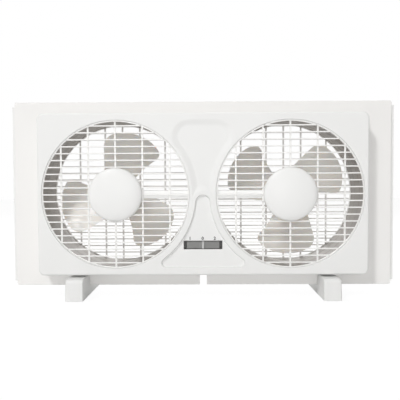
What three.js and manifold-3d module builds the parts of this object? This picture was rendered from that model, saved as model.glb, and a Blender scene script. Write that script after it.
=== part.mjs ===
// A twin window fan: two fans side by side, each in a round duct behind a grille in one raised
// fascia, a thin frame that fills the window, a rear cover, a sliding panel at each end and two
// feet that pull off.
// Sizes are in millimetres. X runs to the right, Y backwards and Z up. The pieces are modelled with
// Y as the depth behind the fascia's face and Z as the height above the two fan axes; the outermost
// group then stands the product on the floor, with the middle of its feet on the origin.
import * as THREE from 'three';
import { mergeVertices } from 'three/addons/utils/BufferGeometryUtils.js';
import Module from 'manifold-3d';

const wasm = await Module();
wasm.setup();

// ---------------------------------------------------------------- driving dimensions
const clearance = 0.3; // between pieces that meet
const runningClearance = 0.08; // shaft in its bushes
const cut = 1; // how far a cutting tool runs past the face that it leaves
const root = 0.5; // how far a boss, rib or rail reaches into the wall that it grows from
const roundSteps = 40; // facets round a large circle
const smallSteps = 12; // facets round a small one
const tinySteps = 8; // facets round a screw or a pin

const neckWidth = 43; // fascia between the two openings, where it is narrowest
const frameLift = 17.5; // frame's lower edge above the floor
const bodyDepth = 97; // fascia's face to the rear cover's back
const openingRadius = 119; // air openings in the fascia and in the rear cover

const sideBand = 6.5; // fascia between an opening and its end
const topBand = 11.5; // fascia above and below the openings
const fasciaDepth = 36; // stands this far in front of the frame
const fasciaCorner = 10;
const fasciaEdge = 4; // rounding round its front
const fasciaWall = 2.6;
const controlRecessDepth = 4;
const upperRecessDepth = 2.4; // its backing stays in front of the wire channels
const controlRim = 10.2; // raised band between an opening and the recess round the switch
const controlRecessTop = -0.8; // above the fan axes
const controlRecessMargin = 12.3; // above the fascia's lower edge
const controlRecessCorner = 4;
const archBand = 6.5; // raised band between the two recesses
const upperRim = 5.8; // raised band between an opening and the upper recess
const upperRecessMargin = 12; // below the fascia's upper edge
const upperRecessCorner = 26;
const upperRecessFoot = 8; // its sides run this far below the fan axes, behind the arch

const frameSideBand = 45.5; // frame beyond the fascia's ends
const frameTopBand = 21.5; // frame above and below the fascia
const frameThickness = 3;
const frameCorner = 3;
const cordNotchWidth = 11.7; // lets the cord pass below a closed sash
const cordNotchHeight = 16;
const ductStep = 1; // the ducts are this much narrower than the openings
const ductWall = 2.4;

const coverEndInset = 1; // inside the fascia's ends
const coverTopInset = 4; // inside its top and bottom
const coverWall = 2.4;
const coverCorner = 12;
const coverEdge = 3;

const grilleInset = 1; // bars behind the face that they fill
const ringWall = 2;
const ringFlangeReach = 2.5; // past the opening, behind its edge
const ringFlangeThickness = 2.2;
const barHeight = 2.1;
const barDepth = 2.4;
const ribWidth = 3;
const frontBarPitch = 11;
const frontRibPitch = 43.7;
const rearBarPitch = 11.6;
const rearInnerRib = 30.3; // from the axis
const rearOuterRib = 74.3;
const rearRibGap = 0.1; // behind the rear bars, which cross the ribs without meeting them
const rearDiscRadius = 27;
const discRecess = 1.2;

const capRadius = 43;
const capHeight = 9.5;
const capWall = 2;
const capFullness = 0.75; // power of the dome's curve: lower is flatter on top
const capLap = 1.5; // past the disc that it covers
const capSpigotWall = 2;

const bladeCount = 3;
const bladeTipGap = 13.5; // to the duct's wall
const bladeThickness = 1.6;
const bladeCamber = 0.06; // bow of the blade, as a share of its depth
const bladeRootDepth = 21; // front to back at the hub
const bladeTipDepth = 38;
const bladeEdgeOffset = 24.7; // the straight edge runs this far beside the axis
const bladeEdgeLead = 15; // degrees from the blade's middle line to that edge's own line
const bladeBackAngle = 28; // degrees from the middle line to the hooked edge, at the hub
const bladeHookAngle = 6; // degrees more at the tip of the hook
const bladeHookCut = 0.122; // share of the radius lost at the hooked tip
const bladeCornerCut = 0.085; // share lost at the straight edge's corner
const leftBladeTurn = 75; // degrees, first blade up from the right
const rightBladeTurn = 30;

const hubRadius = 30;
const hubDepth = 24;
const hubWall = 2.5;
const hubBossRadius = 6;
const hubChamfer = 2;
const hubGap = 1.2; // behind the motor
const nutThickness = 4;

const shaftRadius = 2.5;
const bushWall = 1.9;
const bushLength = 6.5;
const bushHousingWall = 3;
const bracketThickness = 3;
const bracketHalfWidth = 6;
const bracketLeg = 9;
const bracketLegRadius = 5;
const motorScrewOffset = 20.5; // each side of the axis
const motorScrewRadius = 1.8;
const screwHeadHeight = 2;
const screwHeadLap = 1.7;
const screwTail = 2;
const screwHeadCrown = 0.6; // share of the head's radius that is flat on top
const screwHeadRounding = 0.2;

const statorDepth = 16;
const statorHalfWidth = 26;
const statorTop = 18;
const statorCorner = 3;
const rotorRadius = 12.2;
const airGap = 0.6;
const rotorInset = 0.5;
const windowHalfWidth = 14.5;
const windowTop = 17; // below the axis
const coilLegTop = 23.5;
const coilLegBottom = 32.5;
const coilThickness = 4.7;
const coilEndGap = 0.9; // between the winding and the sides of the iron's window

const channelHeight = 13;
const channelDepth = 5;
const channelWall = 1.4;
const channelStart = 36; // from the axis
const channelOvershoot = 4; // past the duct wall
const leadRadius = 1.4;
const leadSides = 6;
const leadSteps = 28;
const leadOffset = 7; // each side of the middle, above the switch
const leadFromCoil = 8; // beside the axis, where it leaves the winding
const leadStraight = 1; // runs straight off the winding in steps of this length
const leadBend = 4; // how gently it turns

const slotWidth = 62.4;
const slotHeight = 13.8;
const slotMargin = 36.2; // middle of the slot above the recess's lower side
const knobTravel = 20;
const knobPlateWidth = 50;
const knobPlateMargin = 1; // above and below, inside the slot's height
const knobPlateThickness = 2;
const knobRidgeWidth = 4;
const knobRidgeProud = 0.8; // in front of the recess floor
const knobStemWidth = 6;
const knobStemLength = 3;
const switchHalfHeight = 8;
const switchDepth = 20;
const switchEndMargin = 4;
const earHalfHeight = 13;
const earThickness = 2;
const pinX = 20;
const pinZ = 10;
const pinRadius = 1.5;
const postRadius = 2.5;

const glandRadius = 5;
const glandBore = 3.2;
const glandFlange = 8;
const glandFlangeThickness = 2;
const glandDepthPlace = 70; // behind the fascia's face
const glandOffset = 25; // beside the middle, clear of the screw boss there

const caseScrewRadius = 2;
const caseScrewInset = 16; // from the fascia's sides
const caseScrewBite = 15; // into the fascia's bosses
const caseScrewSeat = 5; // cover material under the head
const caseBossRadius = 4.8;
const coverBossRadius = 7;

const panelInset = 7; // inside the frame's upper and lower edges
const panelThickness = 2.6;
const panelProud = 4.6; // beyond the frame's end when pushed in
const panelLipDepth = 8;
const panelLipWall = 2.6;
const panelGap = 2.5; // to the rear cover's side
const railWall = 3;
const railLip = 6;
const railEnd = 3; // short of the frame's end

const footInset = 106.75; // middle of a foot inside the frame's end
const footWidth = 28.5;
const footLength = 170;
const footReach = 20; // in front of the fascia
const footGrip = 10.5; // how far a foot reaches up over the frame's edge
const footTailHeight = 17;
const footTailLength = 80;
const footCorner = 6;
const footEdge = 3;
const footWall = 2.6;
const footEndBlock = 18;
const footGripBlock = 8; // solid each side of the frame
const footNotchHeight = 2; // in the frame's lower edge, where a foot clips in and can't slide
const footTabWidth = 2;
const footTabHeight = 8;
const footTabDepth = 6;
const padLength = 12;
const padThickness = 2.2;
const padProud = 0.8;
const padMargin = 4;

// ---------------------------------------------------------------- places worked out from them
const axisX = openingRadius + neckWidth / 2;
const fasciaWidth = 2 * (axisX + openingRadius + sideBand);
const fasciaHeight = 2 * (openingRadius + topBand);
const frameWidth = fasciaWidth + 2 * frameSideBand;
const frameHeight = fasciaHeight + 2 * frameTopBand;
const coverWidth = fasciaWidth - 2 * coverEndInset;
const coverHeight = fasciaHeight - 2 * coverTopInset;
const controlRecessBottom = fasciaHeight / 2 - controlRecessMargin;
const upperRecessTop = fasciaHeight / 2 - upperRecessMargin;
const slotBelowAxis = controlRecessBottom - slotMargin;
const frameFront = fasciaDepth;
const frameBack = frameFront + frameThickness;
const ductRadius = openingRadius - ductStep;
const bladeTipRadius = ductRadius - bladeTipGap;
const ringOuter = openingRadius - clearance;
const ringInner = ringOuter - ringWall;
const flangeRadius = openingRadius + ringFlangeReach;
const ductFront = fasciaWall + ringFlangeThickness + 2 * clearance;
const ductBack = bodyDepth - coverWall - ringFlangeThickness - 2 * clearance;
const ringDepth = fasciaWall + clearance + ringFlangeThickness - grilleInset;
const discRadius = capRadius - capLap;
const discBack = grilleInset + ringDepth;
const capRim = grilleInset - clearance;

const frontBracketFace = discBack + clearance;
const frontBracketBack = frontBracketFace + bracketThickness;
const statorFront = frontBracketBack + bracketLeg;
const statorBack = statorFront + statorDepth;
const rearBracketFront = statorBack + bracketLeg;
const rearBracketBack = rearBracketFront + bracketThickness;
const hubFront = rearBracketBack + screwTail + hubGap;
const hubBack = hubFront + hubDepth;
const bushRadius = shaftRadius + runningClearance + bushWall;

const recessFloorBack = controlRecessDepth + fasciaWall;
const knobPlateFront = recessFloorBack + clearance;
const knobPlateBack = knobPlateFront + knobPlateThickness;
const switchFront = knobPlateBack + clearance;
const switchHalfWidth = knobTravel + knobStemWidth / 2 + switchEndMargin;

const caseScrewX = fasciaWidth / 2 - caseScrewInset;
const caseScrewZ = fasciaHeight / 2 - caseScrewInset;
const caseScrewPlaces = {
  left_top: [-caseScrewX, caseScrewZ],
  left_bottom: [-caseScrewX, -caseScrewZ],
  centre_top: [0, caseScrewZ],
  centre_bottom: [0, -caseScrewZ],
  right_top: [caseScrewX, caseScrewZ],
  right_bottom: [caseScrewX, -caseScrewZ],
};

const panelFront = frameBack + clearance;
const panelBack = panelFront + panelThickness;
const panelInner = coverWidth / 2 + panelGap;
const panelOuter = frameWidth / 2 + panelProud;
const panelHeight = frameHeight - 2 * panelInset;
const frameBottom = -frameHeight / 2;
const axisHeight = frameHeight / 2 + frameLift; // fan axes above the floor
const floorZ = -axisHeight;
const footTop = frameBottom + footGrip;
const footTailTop = floorZ + footTailHeight;
const footSpacing = frameWidth - 2 * footInset;

// ---------------------------------------------------------------- solids
// A closed geometry as a solid that can be joined and cut. Triangles that the poles of a turned
// shape collapse are dropped, and a shell that came out inside out is turned round.
function solid(geometry) {
  const bare = geometry.index ? geometry.toNonIndexed() : geometry.clone();
  bare.deleteAttribute('normal');
  bare.deleteAttribute('uv');
  const merged = mergeVertices(bare, 1e-4);
  const place = merged.attributes.position;
  const corners = [];
  let volume = 0;
  const [a, b, c] = [new THREE.Vector3(), new THREE.Vector3(), new THREE.Vector3()];
  for (let i = 0; i < merged.index.count; i += 3) {
    const [p, q, r] = [0, 1, 2].map((k) => merged.index.getX(i + k));
    if (p === q || q === r || r === p) continue;
    corners.push(p, q, r);
    a.fromBufferAttribute(place, p);
    b.fromBufferAttribute(place, q);
    c.fromBufferAttribute(place, r);
    volume += a.dot(b.cross(c));
  }
  if (volume < 0) corners.reverse();
  return new wasm.Manifold(
    new wasm.Mesh({
      numProp: 3,
      vertProperties: new Float32Array(place.array),
      triVerts: new Uint32Array(corners),
    }),
  );
}

function geometryOf(body) {
  const mesh = body.asOriginal().simplify(0.001).getMesh();
  const geometry = new THREE.BufferGeometry();
  geometry.setAttribute('position', new THREE.BufferAttribute(mesh.vertProperties, 3));
  geometry.setIndex(new THREE.BufferAttribute(mesh.triVerts, 1));
  geometry.computeVertexNormals();
  return geometry;
}

function join(first, ...others) {
  return others.reduce((whole, piece) => whole.add(piece), first);
}

function carve(body, ...tools) {
  return tools.reduce((rest, tool) => rest.subtract(tool), body);
}

function block(x0, x1, y0, y1, z0, z1) {
  const box = new THREE.BoxGeometry(x1 - x0, y1 - y0, z1 - z0);
  return solid(box.translate((x0 + x1) / 2, (y0 + y1) / 2, (z0 + z1) / 2));
}

// A round bar along Y.
function drum(radius, front, back, x = 0, z = 0, steps = smallSteps) {
  const bar = new THREE.CylinderGeometry(radius, radius, back - front, steps);
  return solid(bar.translate(x, (front + back) / 2, z));
}

// A profile of [radius, depth] points turned about the fan's own axis.
function turned(profile, steps = roundSteps) {
  return solid(new THREE.LatheGeometry(profile.map(([r, y]) => new THREE.Vector2(r, y)), steps));
}

function washer(inner, outer, front, back, steps = smallSteps) {
  return turned([[inner, front], [outer, front], [outer, back], [inner, back], [inner, front]], steps);
}

// A flat outline, seen from the front, made into a plate between two depths.
function plate(outline, front, back, curveSegments = 4) {
  const depth = back - front;
  const slab = new THREE.ExtrudeGeometry(outline, { depth, bevelEnabled: false, curveSegments });
  return solid(slab.rotateX(Math.PI / 2).translate(0, back, 0));
}

function roundedRectangle(width, height, radius) {
  const [x, z] = [width / 2 - radius, height / 2 - radius];
  const outline = new THREE.Shape();
  outline.absarc(x, z, radius, 0, Math.PI / 2, false);
  outline.absarc(-x, z, radius, Math.PI / 2, Math.PI, false);
  outline.absarc(-x, -z, radius, Math.PI, 1.5 * Math.PI, false);
  outline.absarc(x, -z, radius, 1.5 * Math.PI, 2 * Math.PI, false);
  return outline;
}

function stadium(halfLength, radius) {
  return roundedRectangle(2 * (halfLength + radius), 2 * radius, radius);
}

// A tray that is open on one side, with its face's edge rounded. The open side is at depth `rim`,
// and the face at depth `face`, which may lie in front of it or behind it.
function tray({ width, height, corner, edge, wall, face, rim }) {
  const inwards = Math.sign(rim - face);
  const depth = Math.abs(rim - face);
  const outline = roundedRectangle(width - 2 * edge, height - 2 * edge, corner - edge);
  const options = { bevelThickness: edge, bevelSize: edge, bevelSegments: 2, curveSegments: 2 };
  const slab = new THREE.ExtrudeGeometry(outline, { depth, ...options });
  // The slab's face bevel ends at the face, and its far bevel is cut away with the hollow.
  slab.rotateX(inwards * Math.PI / 2).translate(0, inwards > 0 ? face + edge + depth : 0, 0);
  if (inwards < 0) slab.translate(0, rim - edge, 0);
  const hollow = roundedRectangle(width - 2 * wall, height - 2 * wall, corner - wall);
  const [front, back] = [Math.min(face + inwards * wall, rim), Math.max(face + inwards * wall, rim)];
  const far = edge + depth;
  const beyond = inwards > 0
    ? block(-width, width, rim, rim + far, -height, height)
    : block(-width, width, rim - far, rim, -height, height);
  return carve(solid(slab), plate(hollow, front, back, 2), beyond);
}

function finish(colour, roughness, metalness = 0) {
  return new THREE.MeshStandardMaterial({ color: colour, roughness, metalness });
}

const finishes = {
  casing: () => finish(0xeeeeea, 0.35),
  blade: () => finish(0xe4ddd4, 0.4),
  switch: () => finish(0x7d7f80, 0.5),
  dark: () => finish(0x2c2c2e, 0.6),
  iron: () => finish(0x8d8f92, 0.45, 0.8),
  steel: () => finish(0xb9bbbd, 0.35, 0.9),
  bronze: () => finish(0xa9824e, 0.4, 0.9),
  zinc: () => finish(0xa7aaac, 0.5, 0.8),
  winding: () => finish(0x9c4a22, 0.45, 0.4),
  lead: () => finish(0xe8e6e0, 0.5),
  rubber: () => finish(0x8c8c8a, 0.85),
};

function part(name, body, look) {
  const mesh = new THREE.Mesh(geometryOf(body), finishes[look]());
  mesh.name = name;
  return mesh;
}

// ---------------------------------------------------------------- fascia
// The recess round the switch, seen from the front: its sides follow the two openings, its top is
// an arch between them and its bottom corners are rounded. Inset draws it smaller, or wider below 0.
function controlArch(inset) {
  const side = openingRadius + controlRim + inset;
  const top = controlRecessTop - inset;
  // The arch touches both sides: (side + top - centre)^2 = axisX^2 + centre^2.
  const centre = ((side + top) ** 2 - axisX ** 2) / (2 * (side + top));
  return { centre, radius: top - centre };
}

function controlRecess(inset) {
  const side = openingRadius + controlRim + inset;
  const bottom = inset - controlRecessBottom;
  const corner = controlRecessCorner - inset;
  const arch = controlArch(inset);
  const cornerZ = bottom + corner;
  const cornerX = axisX - Math.sqrt((side + corner) ** 2 - cornerZ ** 2);
  const cornerTurn = Math.atan2(-cornerZ, axisX - cornerX);
  const archTurn = Math.atan2(-arch.centre, axisX);
  const outline = new THREE.Shape();
  outline.absarc(cornerX, cornerZ, corner, -Math.PI / 2, cornerTurn, false);
  outline.absarc(axisX, 0, side, cornerTurn + Math.PI, archTurn + Math.PI, true);
  outline.absarc(0, arch.centre, arch.radius, archTurn, Math.PI - archTurn, false);
  outline.absarc(-axisX, 0, side, -archTurn, -cornerTurn, true);
  outline.absarc(-cornerX, cornerZ, corner, Math.PI - cornerTurn, 1.5 * Math.PI, false);
  return outline;
}

// The shallow recess above it, between the two openings.
function upperRecess(inset, front, back) {
  const side = openingRadius + upperRim + inset;
  const top = upperRecessTop - inset;
  const corner = upperRecessCorner - inset;
  const cornerZ = top - corner;
  const cornerX = axisX - Math.sqrt((side + corner) ** 2 - cornerZ ** 2);
  const cornerTurn = Math.atan2(-cornerZ, axisX - cornerX);
  const footTurn = Math.asin(upperRecessFoot / side);
  const outline = new THREE.Shape();
  outline.absarc(axisX, 0, side, Math.PI + footTurn, cornerTurn + Math.PI, true);
  outline.absarc(cornerX, cornerZ, corner, cornerTurn, Math.PI / 2, false);
  outline.absarc(-cornerX, cornerZ, corner, Math.PI / 2, Math.PI - cornerTurn, false);
  outline.absarc(-axisX, 0, side, -cornerTurn, -footTurn, true);
  const arch = controlArch(-archBand);
  const band = drum(arch.radius + inset, front - cut, back + cut, 0, arch.centre, roundSteps / 2);
  return carve(plate(outline, front, back), band);
}

function fasciaBoss(x, z) {
  return drum(caseBossRadius, fasciaWall - root, frameFront - clearance, x, z);
}

function frontFascia() {
  const shell = tray({
    width: fasciaWidth, height: fasciaHeight, corner: fasciaCorner, edge: fasciaEdge,
    wall: fasciaWall, face: 0, rim: frameFront - clearance,
  });
  const controlBacking = plate(controlRecess(-fasciaWall), fasciaWall - root, recessFloorBack);
  const upperBacking = upperRecess(-fasciaWall, fasciaWall - root, upperRecessDepth + fasciaWall);
  const posts = [];
  for (const x of [-pinX, pinX]) {
    for (const z of [-pinZ, pinZ]) {
      const postEnd = switchFront - clearance;
      posts.push(drum(postRadius, recessFloorBack - root, postEnd, x, z - slotBelowAxis, tinySteps));
      const pinEnd = switchFront + earThickness + cut;
      posts.push(drum(pinRadius, recessFloorBack, pinEnd, x, z - slotBelowAxis, tinySteps));
    }
  }
  const places = Object.values(caseScrewPlaces);
  const bosses = places.map(([x, z]) => fasciaBoss(x, z));
  const pilots = places.map(([x, z]) =>
    drum(caseScrewRadius + clearance, frameFront - caseScrewBite - cut, frameFront, x, z, tinySteps));
  const openings = [-axisX, axisX].map((x) =>
    drum(openingRadius, -cut, recessFloorBack + cut, x, 0, roundSteps));
  const slot = block(
    -slotWidth / 2, slotWidth / 2, -cut, recessFloorBack + cut,
    -slotBelowAxis - slotHeight / 2, -slotBelowAxis + slotHeight / 2,
  );
  return carve(
    join(shell, controlBacking, upperBacking, ...posts, ...bosses),
    plate(controlRecess(0), -cut, controlRecessDepth),
    upperRecess(0, -cut, upperRecessDepth),
    ...openings, slot, ...pilots,
  );
}

// ---------------------------------------------------------------- grilles
// Level bars and upright ribs in a ring, round a middle disc. The ring's flange is trapped behind
// the edge of the opening that it fills. Built with its outer face at depth 0.
function grille({ pitch, ribs, ribGap, disc, wall, screws }) {
  const reach = ringOuter - ringWall / 2;
  const flangeFace = wall + clearance - grilleInset;
  const depth = flangeFace + ringFlangeThickness;
  const strips = [];
  const eachSide = Math.floor(ringInner / pitch);
  for (let i = -eachSide; i <= eachSide; i += 1) {
    const z = i * pitch;
    strips.push(block(-reach, reach, 0, barDepth, z - barHeight / 2, z + barHeight / 2));
  }
  for (const x of ribs) {
    strips.push(block(x - ribWidth / 2, x + ribWidth / 2, barDepth + ribGap, depth, -reach, reach));
  }
  const field = join(...strips).intersect(drum(reach, 0, depth, 0, 0, roundSteps));
  const ring = turned([
    [ringInner, 0], [ringOuter, 0], [ringOuter, flangeFace], [flangeRadius, flangeFace],
    [flangeRadius, depth], [ringInner, depth], [ringInner, 0],
  ]);
  const middle = drum(disc, discRecess, depth, 0, 0, roundSteps / 2);
  const bowl = drum(disc, -cut, discRecess, 0, 0, roundSteps / 2);
  const holes = screws.map((x) =>
    drum(motorScrewRadius + clearance, 0, depth + cut, x, 0, tinySteps));
  return carve(join(carve(field, bowl), ring, middle), ...holes);
}

function frontGrille() {
  return geometryOf(grille({
    pitch: frontBarPitch,
    ribs: [-2, -1, 0, 1, 2].map((i) => i * frontRibPitch),
    ribGap: 0,
    disc: discRadius,
    wall: fasciaWall,
    screws: [-motorScrewOffset, motorScrewOffset],
  })).translate(0, grilleInset, 0);
}

function rearGuard() {
  return geometryOf(grille({
    pitch: rearBarPitch,
    ribs: [-rearOuterRib, -rearInnerRib, 0, rearInnerRib, rearOuterRib],
    ribGap: rearRibGap,
    disc: rearDiscRadius,
    wall: coverWall,
    screws: [],
  })).rotateZ(Math.PI).translate(0, bodyDepth - grilleInset, 0);
}

// A shallow dome from its middle out to its rim.
function dome(radius, height, rimDepth, steps) {
  return Array.from({ length: steps + 1 }, (_, i) => {
    const turn = (i / steps) * Math.PI / 2;
    return [radius * Math.sin(turn), rimDepth - height * Math.cos(turn) ** capFullness];
  });
}

function hubCap() {
  const spigotOuter = discRadius - clearance;
  const spigotInner = spigotOuter - capSpigotWall;
  const spigotEnd = grilleInset + discRecess - clearance;
  const inside = dome(spigotInner, capHeight - capWall, capRim, 2).reverse();
  return turned([
    ...dome(capRadius, capHeight, capRim, 5),
    [spigotOuter, capRim], [spigotOuter, spigotEnd], [spigotInner, spigotEnd],
    ...inside,
  ], 28);
}

// ---------------------------------------------------------------- frame, ducts and rails
// Where the wire channel of a fan lies, drawn larger by some room.
function channelRoom(towards, room) {
  const ends = [channelStart - room, ductRadius + ductWall + channelOvershoot + room];
  const [x0, x1] = ends.map((x) => x * towards).sort((p, q) => p - q);
  const half = channelHeight / 2 + room;
  const face = discBack + clearance;
  return { x0, x1, half, front: face - room, back: face + channelDepth + room };
}

function rails(side) {
  const [x0, x1] = [panelInner, frameWidth / 2 - railEnd].map((x) => x * side).sort((p, q) => p - q);
  const edge = panelHeight / 2 + clearance;
  const lipFront = panelBack + clearance;
  return [1, -1].flatMap((up) => {
    const [z0, z1] = [edge * up, (edge + railWall) * up].sort((p, q) => p - q);
    const [l0, l1] = [(edge - railLip) * up, (edge + railWall) * up].sort((p, q) => p - q);
    return [
      block(x0, x1, frameBack - root, lipFront + railWall, z0, z1),
      block(x0, x1, lipFront, lipFront + railWall, l0, l1),
    ];
  });
}

// The duct round a fan. It passes through the frame, and is held between the flange of the front
// grille and that of the rear guard.
function duct(towards) {
  const tube = drum(ductRadius + ductWall, ductFront, ductBack, 0, 0, roundSteps);
  const bore = drum(ductRadius, ductFront - cut, ductBack + cut, 0, 0, roundSteps);
  const room = channelRoom(towards, clearance);
  const notch = block(room.x0, room.x1, ductFront - cut, room.back, -room.half, room.half);
  return carve(tube, bore, notch);
}

function windowFrame() {
  const sheet = plate(roundedRectangle(frameWidth, frameHeight, frameCorner), frameFront, frameBack, 2);
  const through = [frameFront - cut, frameBack + cut];
  const ductHoles = [-axisX, axisX].map((x) =>
    drum(ductRadius + ductWall + clearance, ...through, x, 0, roundSteps));
  const screwHoles = Object.values(caseScrewPlaces).map(([x, z]) =>
    drum(caseScrewRadius + clearance, ...through, x, z, tinySteps));
  const notchAt = (x, width, height) =>
    block(x - width / 2, x + width / 2, ...through, frameBottom - cut, frameBottom + height);
  const notches = [
    notchAt(0, cordNotchWidth, cordNotchHeight),
    notchAt(-footSpacing / 2, footWidth + 2 * clearance, footNotchHeight),
    notchAt(footSpacing / 2, footWidth + 2 * clearance, footNotchHeight),
  ];
  return carve(join(sheet, ...rails(-1), ...rails(1)), ...ductHoles, ...screwHoles, ...notches);
}

function extensionPanel(side) {
  const span = (near, far) => [near * side, far * side].sort((p, q) => p - q);
  const [x0, x1] = span(panelInner, panelOuter);
  const [l0, l1] = span(panelOuter - panelLipWall, panelOuter);
  const half = panelHeight / 2;
  const sheet = block(x0, x1, panelFront, panelBack, -half, half);
  const lip = block(l0, l1, panelFront, panelFront + panelLipDepth, -half, half);
  return join(sheet, lip);
}

// ---------------------------------------------------------------- rear cover
function rearCover() {
  const rim = frameBack + clearance;
  const shell = tray({
    width: coverWidth, height: coverHeight, corner: coverCorner, edge: coverEdge,
    wall: coverWall, face: bodyDepth, rim,
  });
  const places = Object.values(caseScrewPlaces);
  const bosses = places.map(([x, z]) =>
    drum(coverBossRadius, rim, bodyDepth - coverWall + root, x, z));
  const wells = places.map(([x, z]) =>
    drum(coverBossRadius - coverWall, rim + caseScrewSeat, bodyDepth + cut, x, z));
  const holes = places.map(([x, z]) =>
    drum(caseScrewRadius + clearance, rim - cut, rim + caseScrewSeat + cut, x, z, tinySteps));
  const openings = [-axisX, axisX].map((x) =>
    drum(openingRadius, bodyDepth - coverWall - cut, bodyDepth + cut, x, 0, roundSteps));
  const glandHole = uprightHole(glandRadius + clearance);
  return carve(join(shell, ...bosses), ...wells, ...holes, ...openings, glandHole);
}

function uprightHole(radius) {
  const wallZ = -coverHeight / 2;
  const tool = new THREE.CylinderGeometry(radius, radius, 4 * coverWall, smallSteps);
  return solid(tool.rotateX(Math.PI / 2).translate(glandOffset, glandDepthPlace, wallZ));
}

function cordGland() {
  const [low, high] = [-coverHeight / 2 - clearance, -coverHeight / 2 + coverWall + clearance];
  const profile = [
    [glandBore, low - glandFlangeThickness], [glandFlange, low - glandFlangeThickness],
    [glandFlange, low], [glandRadius, low], [glandRadius, high], [glandFlange, high],
    [glandFlange, high + glandFlangeThickness], [glandBore, high + glandFlangeThickness],
    [glandBore, low - glandFlangeThickness],
  ];
  const points = profile.map(([r, y]) => new THREE.Vector2(r, y));
  const ring = new THREE.LatheGeometry(points, smallSteps);
  return solid(ring.rotateX(Math.PI / 2).translate(glandOffset, glandDepthPlace, 0));
}

// A screw along Y: a rounded head in front of its seat, or behind it where it is driven forwards.
function screw({ radius, seat, length, forwards }) {
  const head = radius + screwHeadLap;
  const away = forwards ? 1 : -1;
  const top = seat + away * screwHeadHeight;
  const crownEdge = [head * screwHeadCrown, top - away * screwHeadRounding];
  const end = seat - away * length;
  return turned([
    [0, top], crownEdge, [head, seat + away * screwHeadHeight / 2],
    [head, seat], [radius, seat], [radius, end], [0, end],
  ], tinySteps);
}

// ---------------------------------------------------------------- motor
function bracket(barFront, barBack, towardsStator) {
  const bar = plate(stadium(motorScrewOffset, bracketHalfWidth), barFront, barBack, 2);
  const legEnd = bracketLeg - clearance;
  const reach = (length) => (towardsStator > 0
    ? [barBack - root, barBack + length]
    : [barFront - length, barFront + root]);
  const [legFront, legBack] = reach(legEnd);
  const [bossFront, bossBack] = reach(bushLength);
  const legs = [-motorScrewOffset, motorScrewOffset].map((x) =>
    drum(bracketLegRadius, legFront, legBack, x, 0, tinySteps));
  const holes = [-motorScrewOffset, motorScrewOffset].map((x) =>
    drum(motorScrewRadius + clearance, legFront - bracketLeg, legBack + bracketLeg, x, 0, tinySteps));
  const boss = drum(bushRadius + clearance + bushHousingWall, bossFront, bossBack);
  const bore = drum(bushRadius + clearance, legFront - bracketLeg, legBack + bracketLeg);
  return carve(join(bar, boss, ...legs), bore, ...holes);
}

function stator() {
  const outline = roundedRectangle(2 * statorHalfWidth, statorTop + coilLegBottom, statorCorner);
  const middle = (statorTop - coilLegBottom) / 2;
  const body = plate(outline, statorFront, statorBack, 2).translate([0, 0, middle]);
  const window = block(
    -windowHalfWidth, windowHalfWidth, statorFront - cut, statorBack + cut, -coilLegTop, -windowTop,
  );
  const bore = drum(rotorRadius + airGap, statorFront - cut, statorBack + cut, 0, 0, 2 * smallSteps);
  const holes = [-motorScrewOffset, motorScrewOffset].map((x) =>
    drum(motorScrewRadius + clearance, statorFront - cut, statorBack + cut, x, 0, tinySteps));
  return carve(body, window, bore, ...holes);
}

// The winding wraps the iron's lower leg, which runs along X.
function coil() {
  const half = windowHalfWidth - coilEndGap;
  const [low, high] = [-coilLegBottom - clearance, -coilLegTop + clearance];
  const [front, back] = [statorFront - clearance, statorBack + clearance];
  const outer = block(
    -half, half, front - coilThickness, back + coilThickness, low - coilThickness, high + coilThickness,
  );
  return carve(outer, block(-half - cut, half + cut, front, back, low, high));
}

function bush(front) {
  return washer(shaftRadius + runningClearance, bushRadius, front, front + bushLength);
}

function rotor() {
  return washer(
    shaftRadius + clearance, rotorRadius, statorFront + rotorInset, statorBack - rotorInset, 2 * smallSteps,
  );
}

function motorShaft() {
  return drum(shaftRadius, frontBracketBack, hubBack + clearance + nutThickness + screwTail);
}

function bladeNut() {
  const [front, back] = [hubBack + clearance, hubBack + clearance + nutThickness];
  return carve(
    drum(hubBossRadius, front, back, 0, 0, 6),
    drum(shaftRadius + clearance, front - cut, back + cut),
  );
}

// ---------------------------------------------------------------- fan blade
const degrees = Math.PI / 180;

// A point on a blade's middle surface: `out` runs from 0 at the hub to 1 at the rim, and `across`
// from 0 at the hooked edge, which lies further back, to 1 at the straight edge.
function bladePoint(out, across) {
  const start = hubRadius - hubWall / 2;
  const hookCut = bladeHookCut * (1 - across) ** 4;
  const cornerCut = bladeCornerCut * across ** 5;
  const rim = bladeTipRadius * (1 - hookCut - cornerCut);
  const radius = start + out * (rim - start);
  const hooked = -(bladeBackAngle + bladeHookAngle * out ** 3) * degrees;
  const straight = bladeEdgeLead * degrees + Math.asin(Math.min(1, bladeEdgeOffset / radius));
  const turn = hooked + across * (straight - hooked);
  const depth = bladeRootDepth + out * (bladeTipDepth - bladeRootDepth);
  const middle = (hubFront + hubBack) / 2;
  const camber = bladeCamber * depth * Math.sin(across * Math.PI);
  return [radius * Math.cos(turn), middle - depth * (across - 0.5) + camber, radius * Math.sin(turn)];
}

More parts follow.
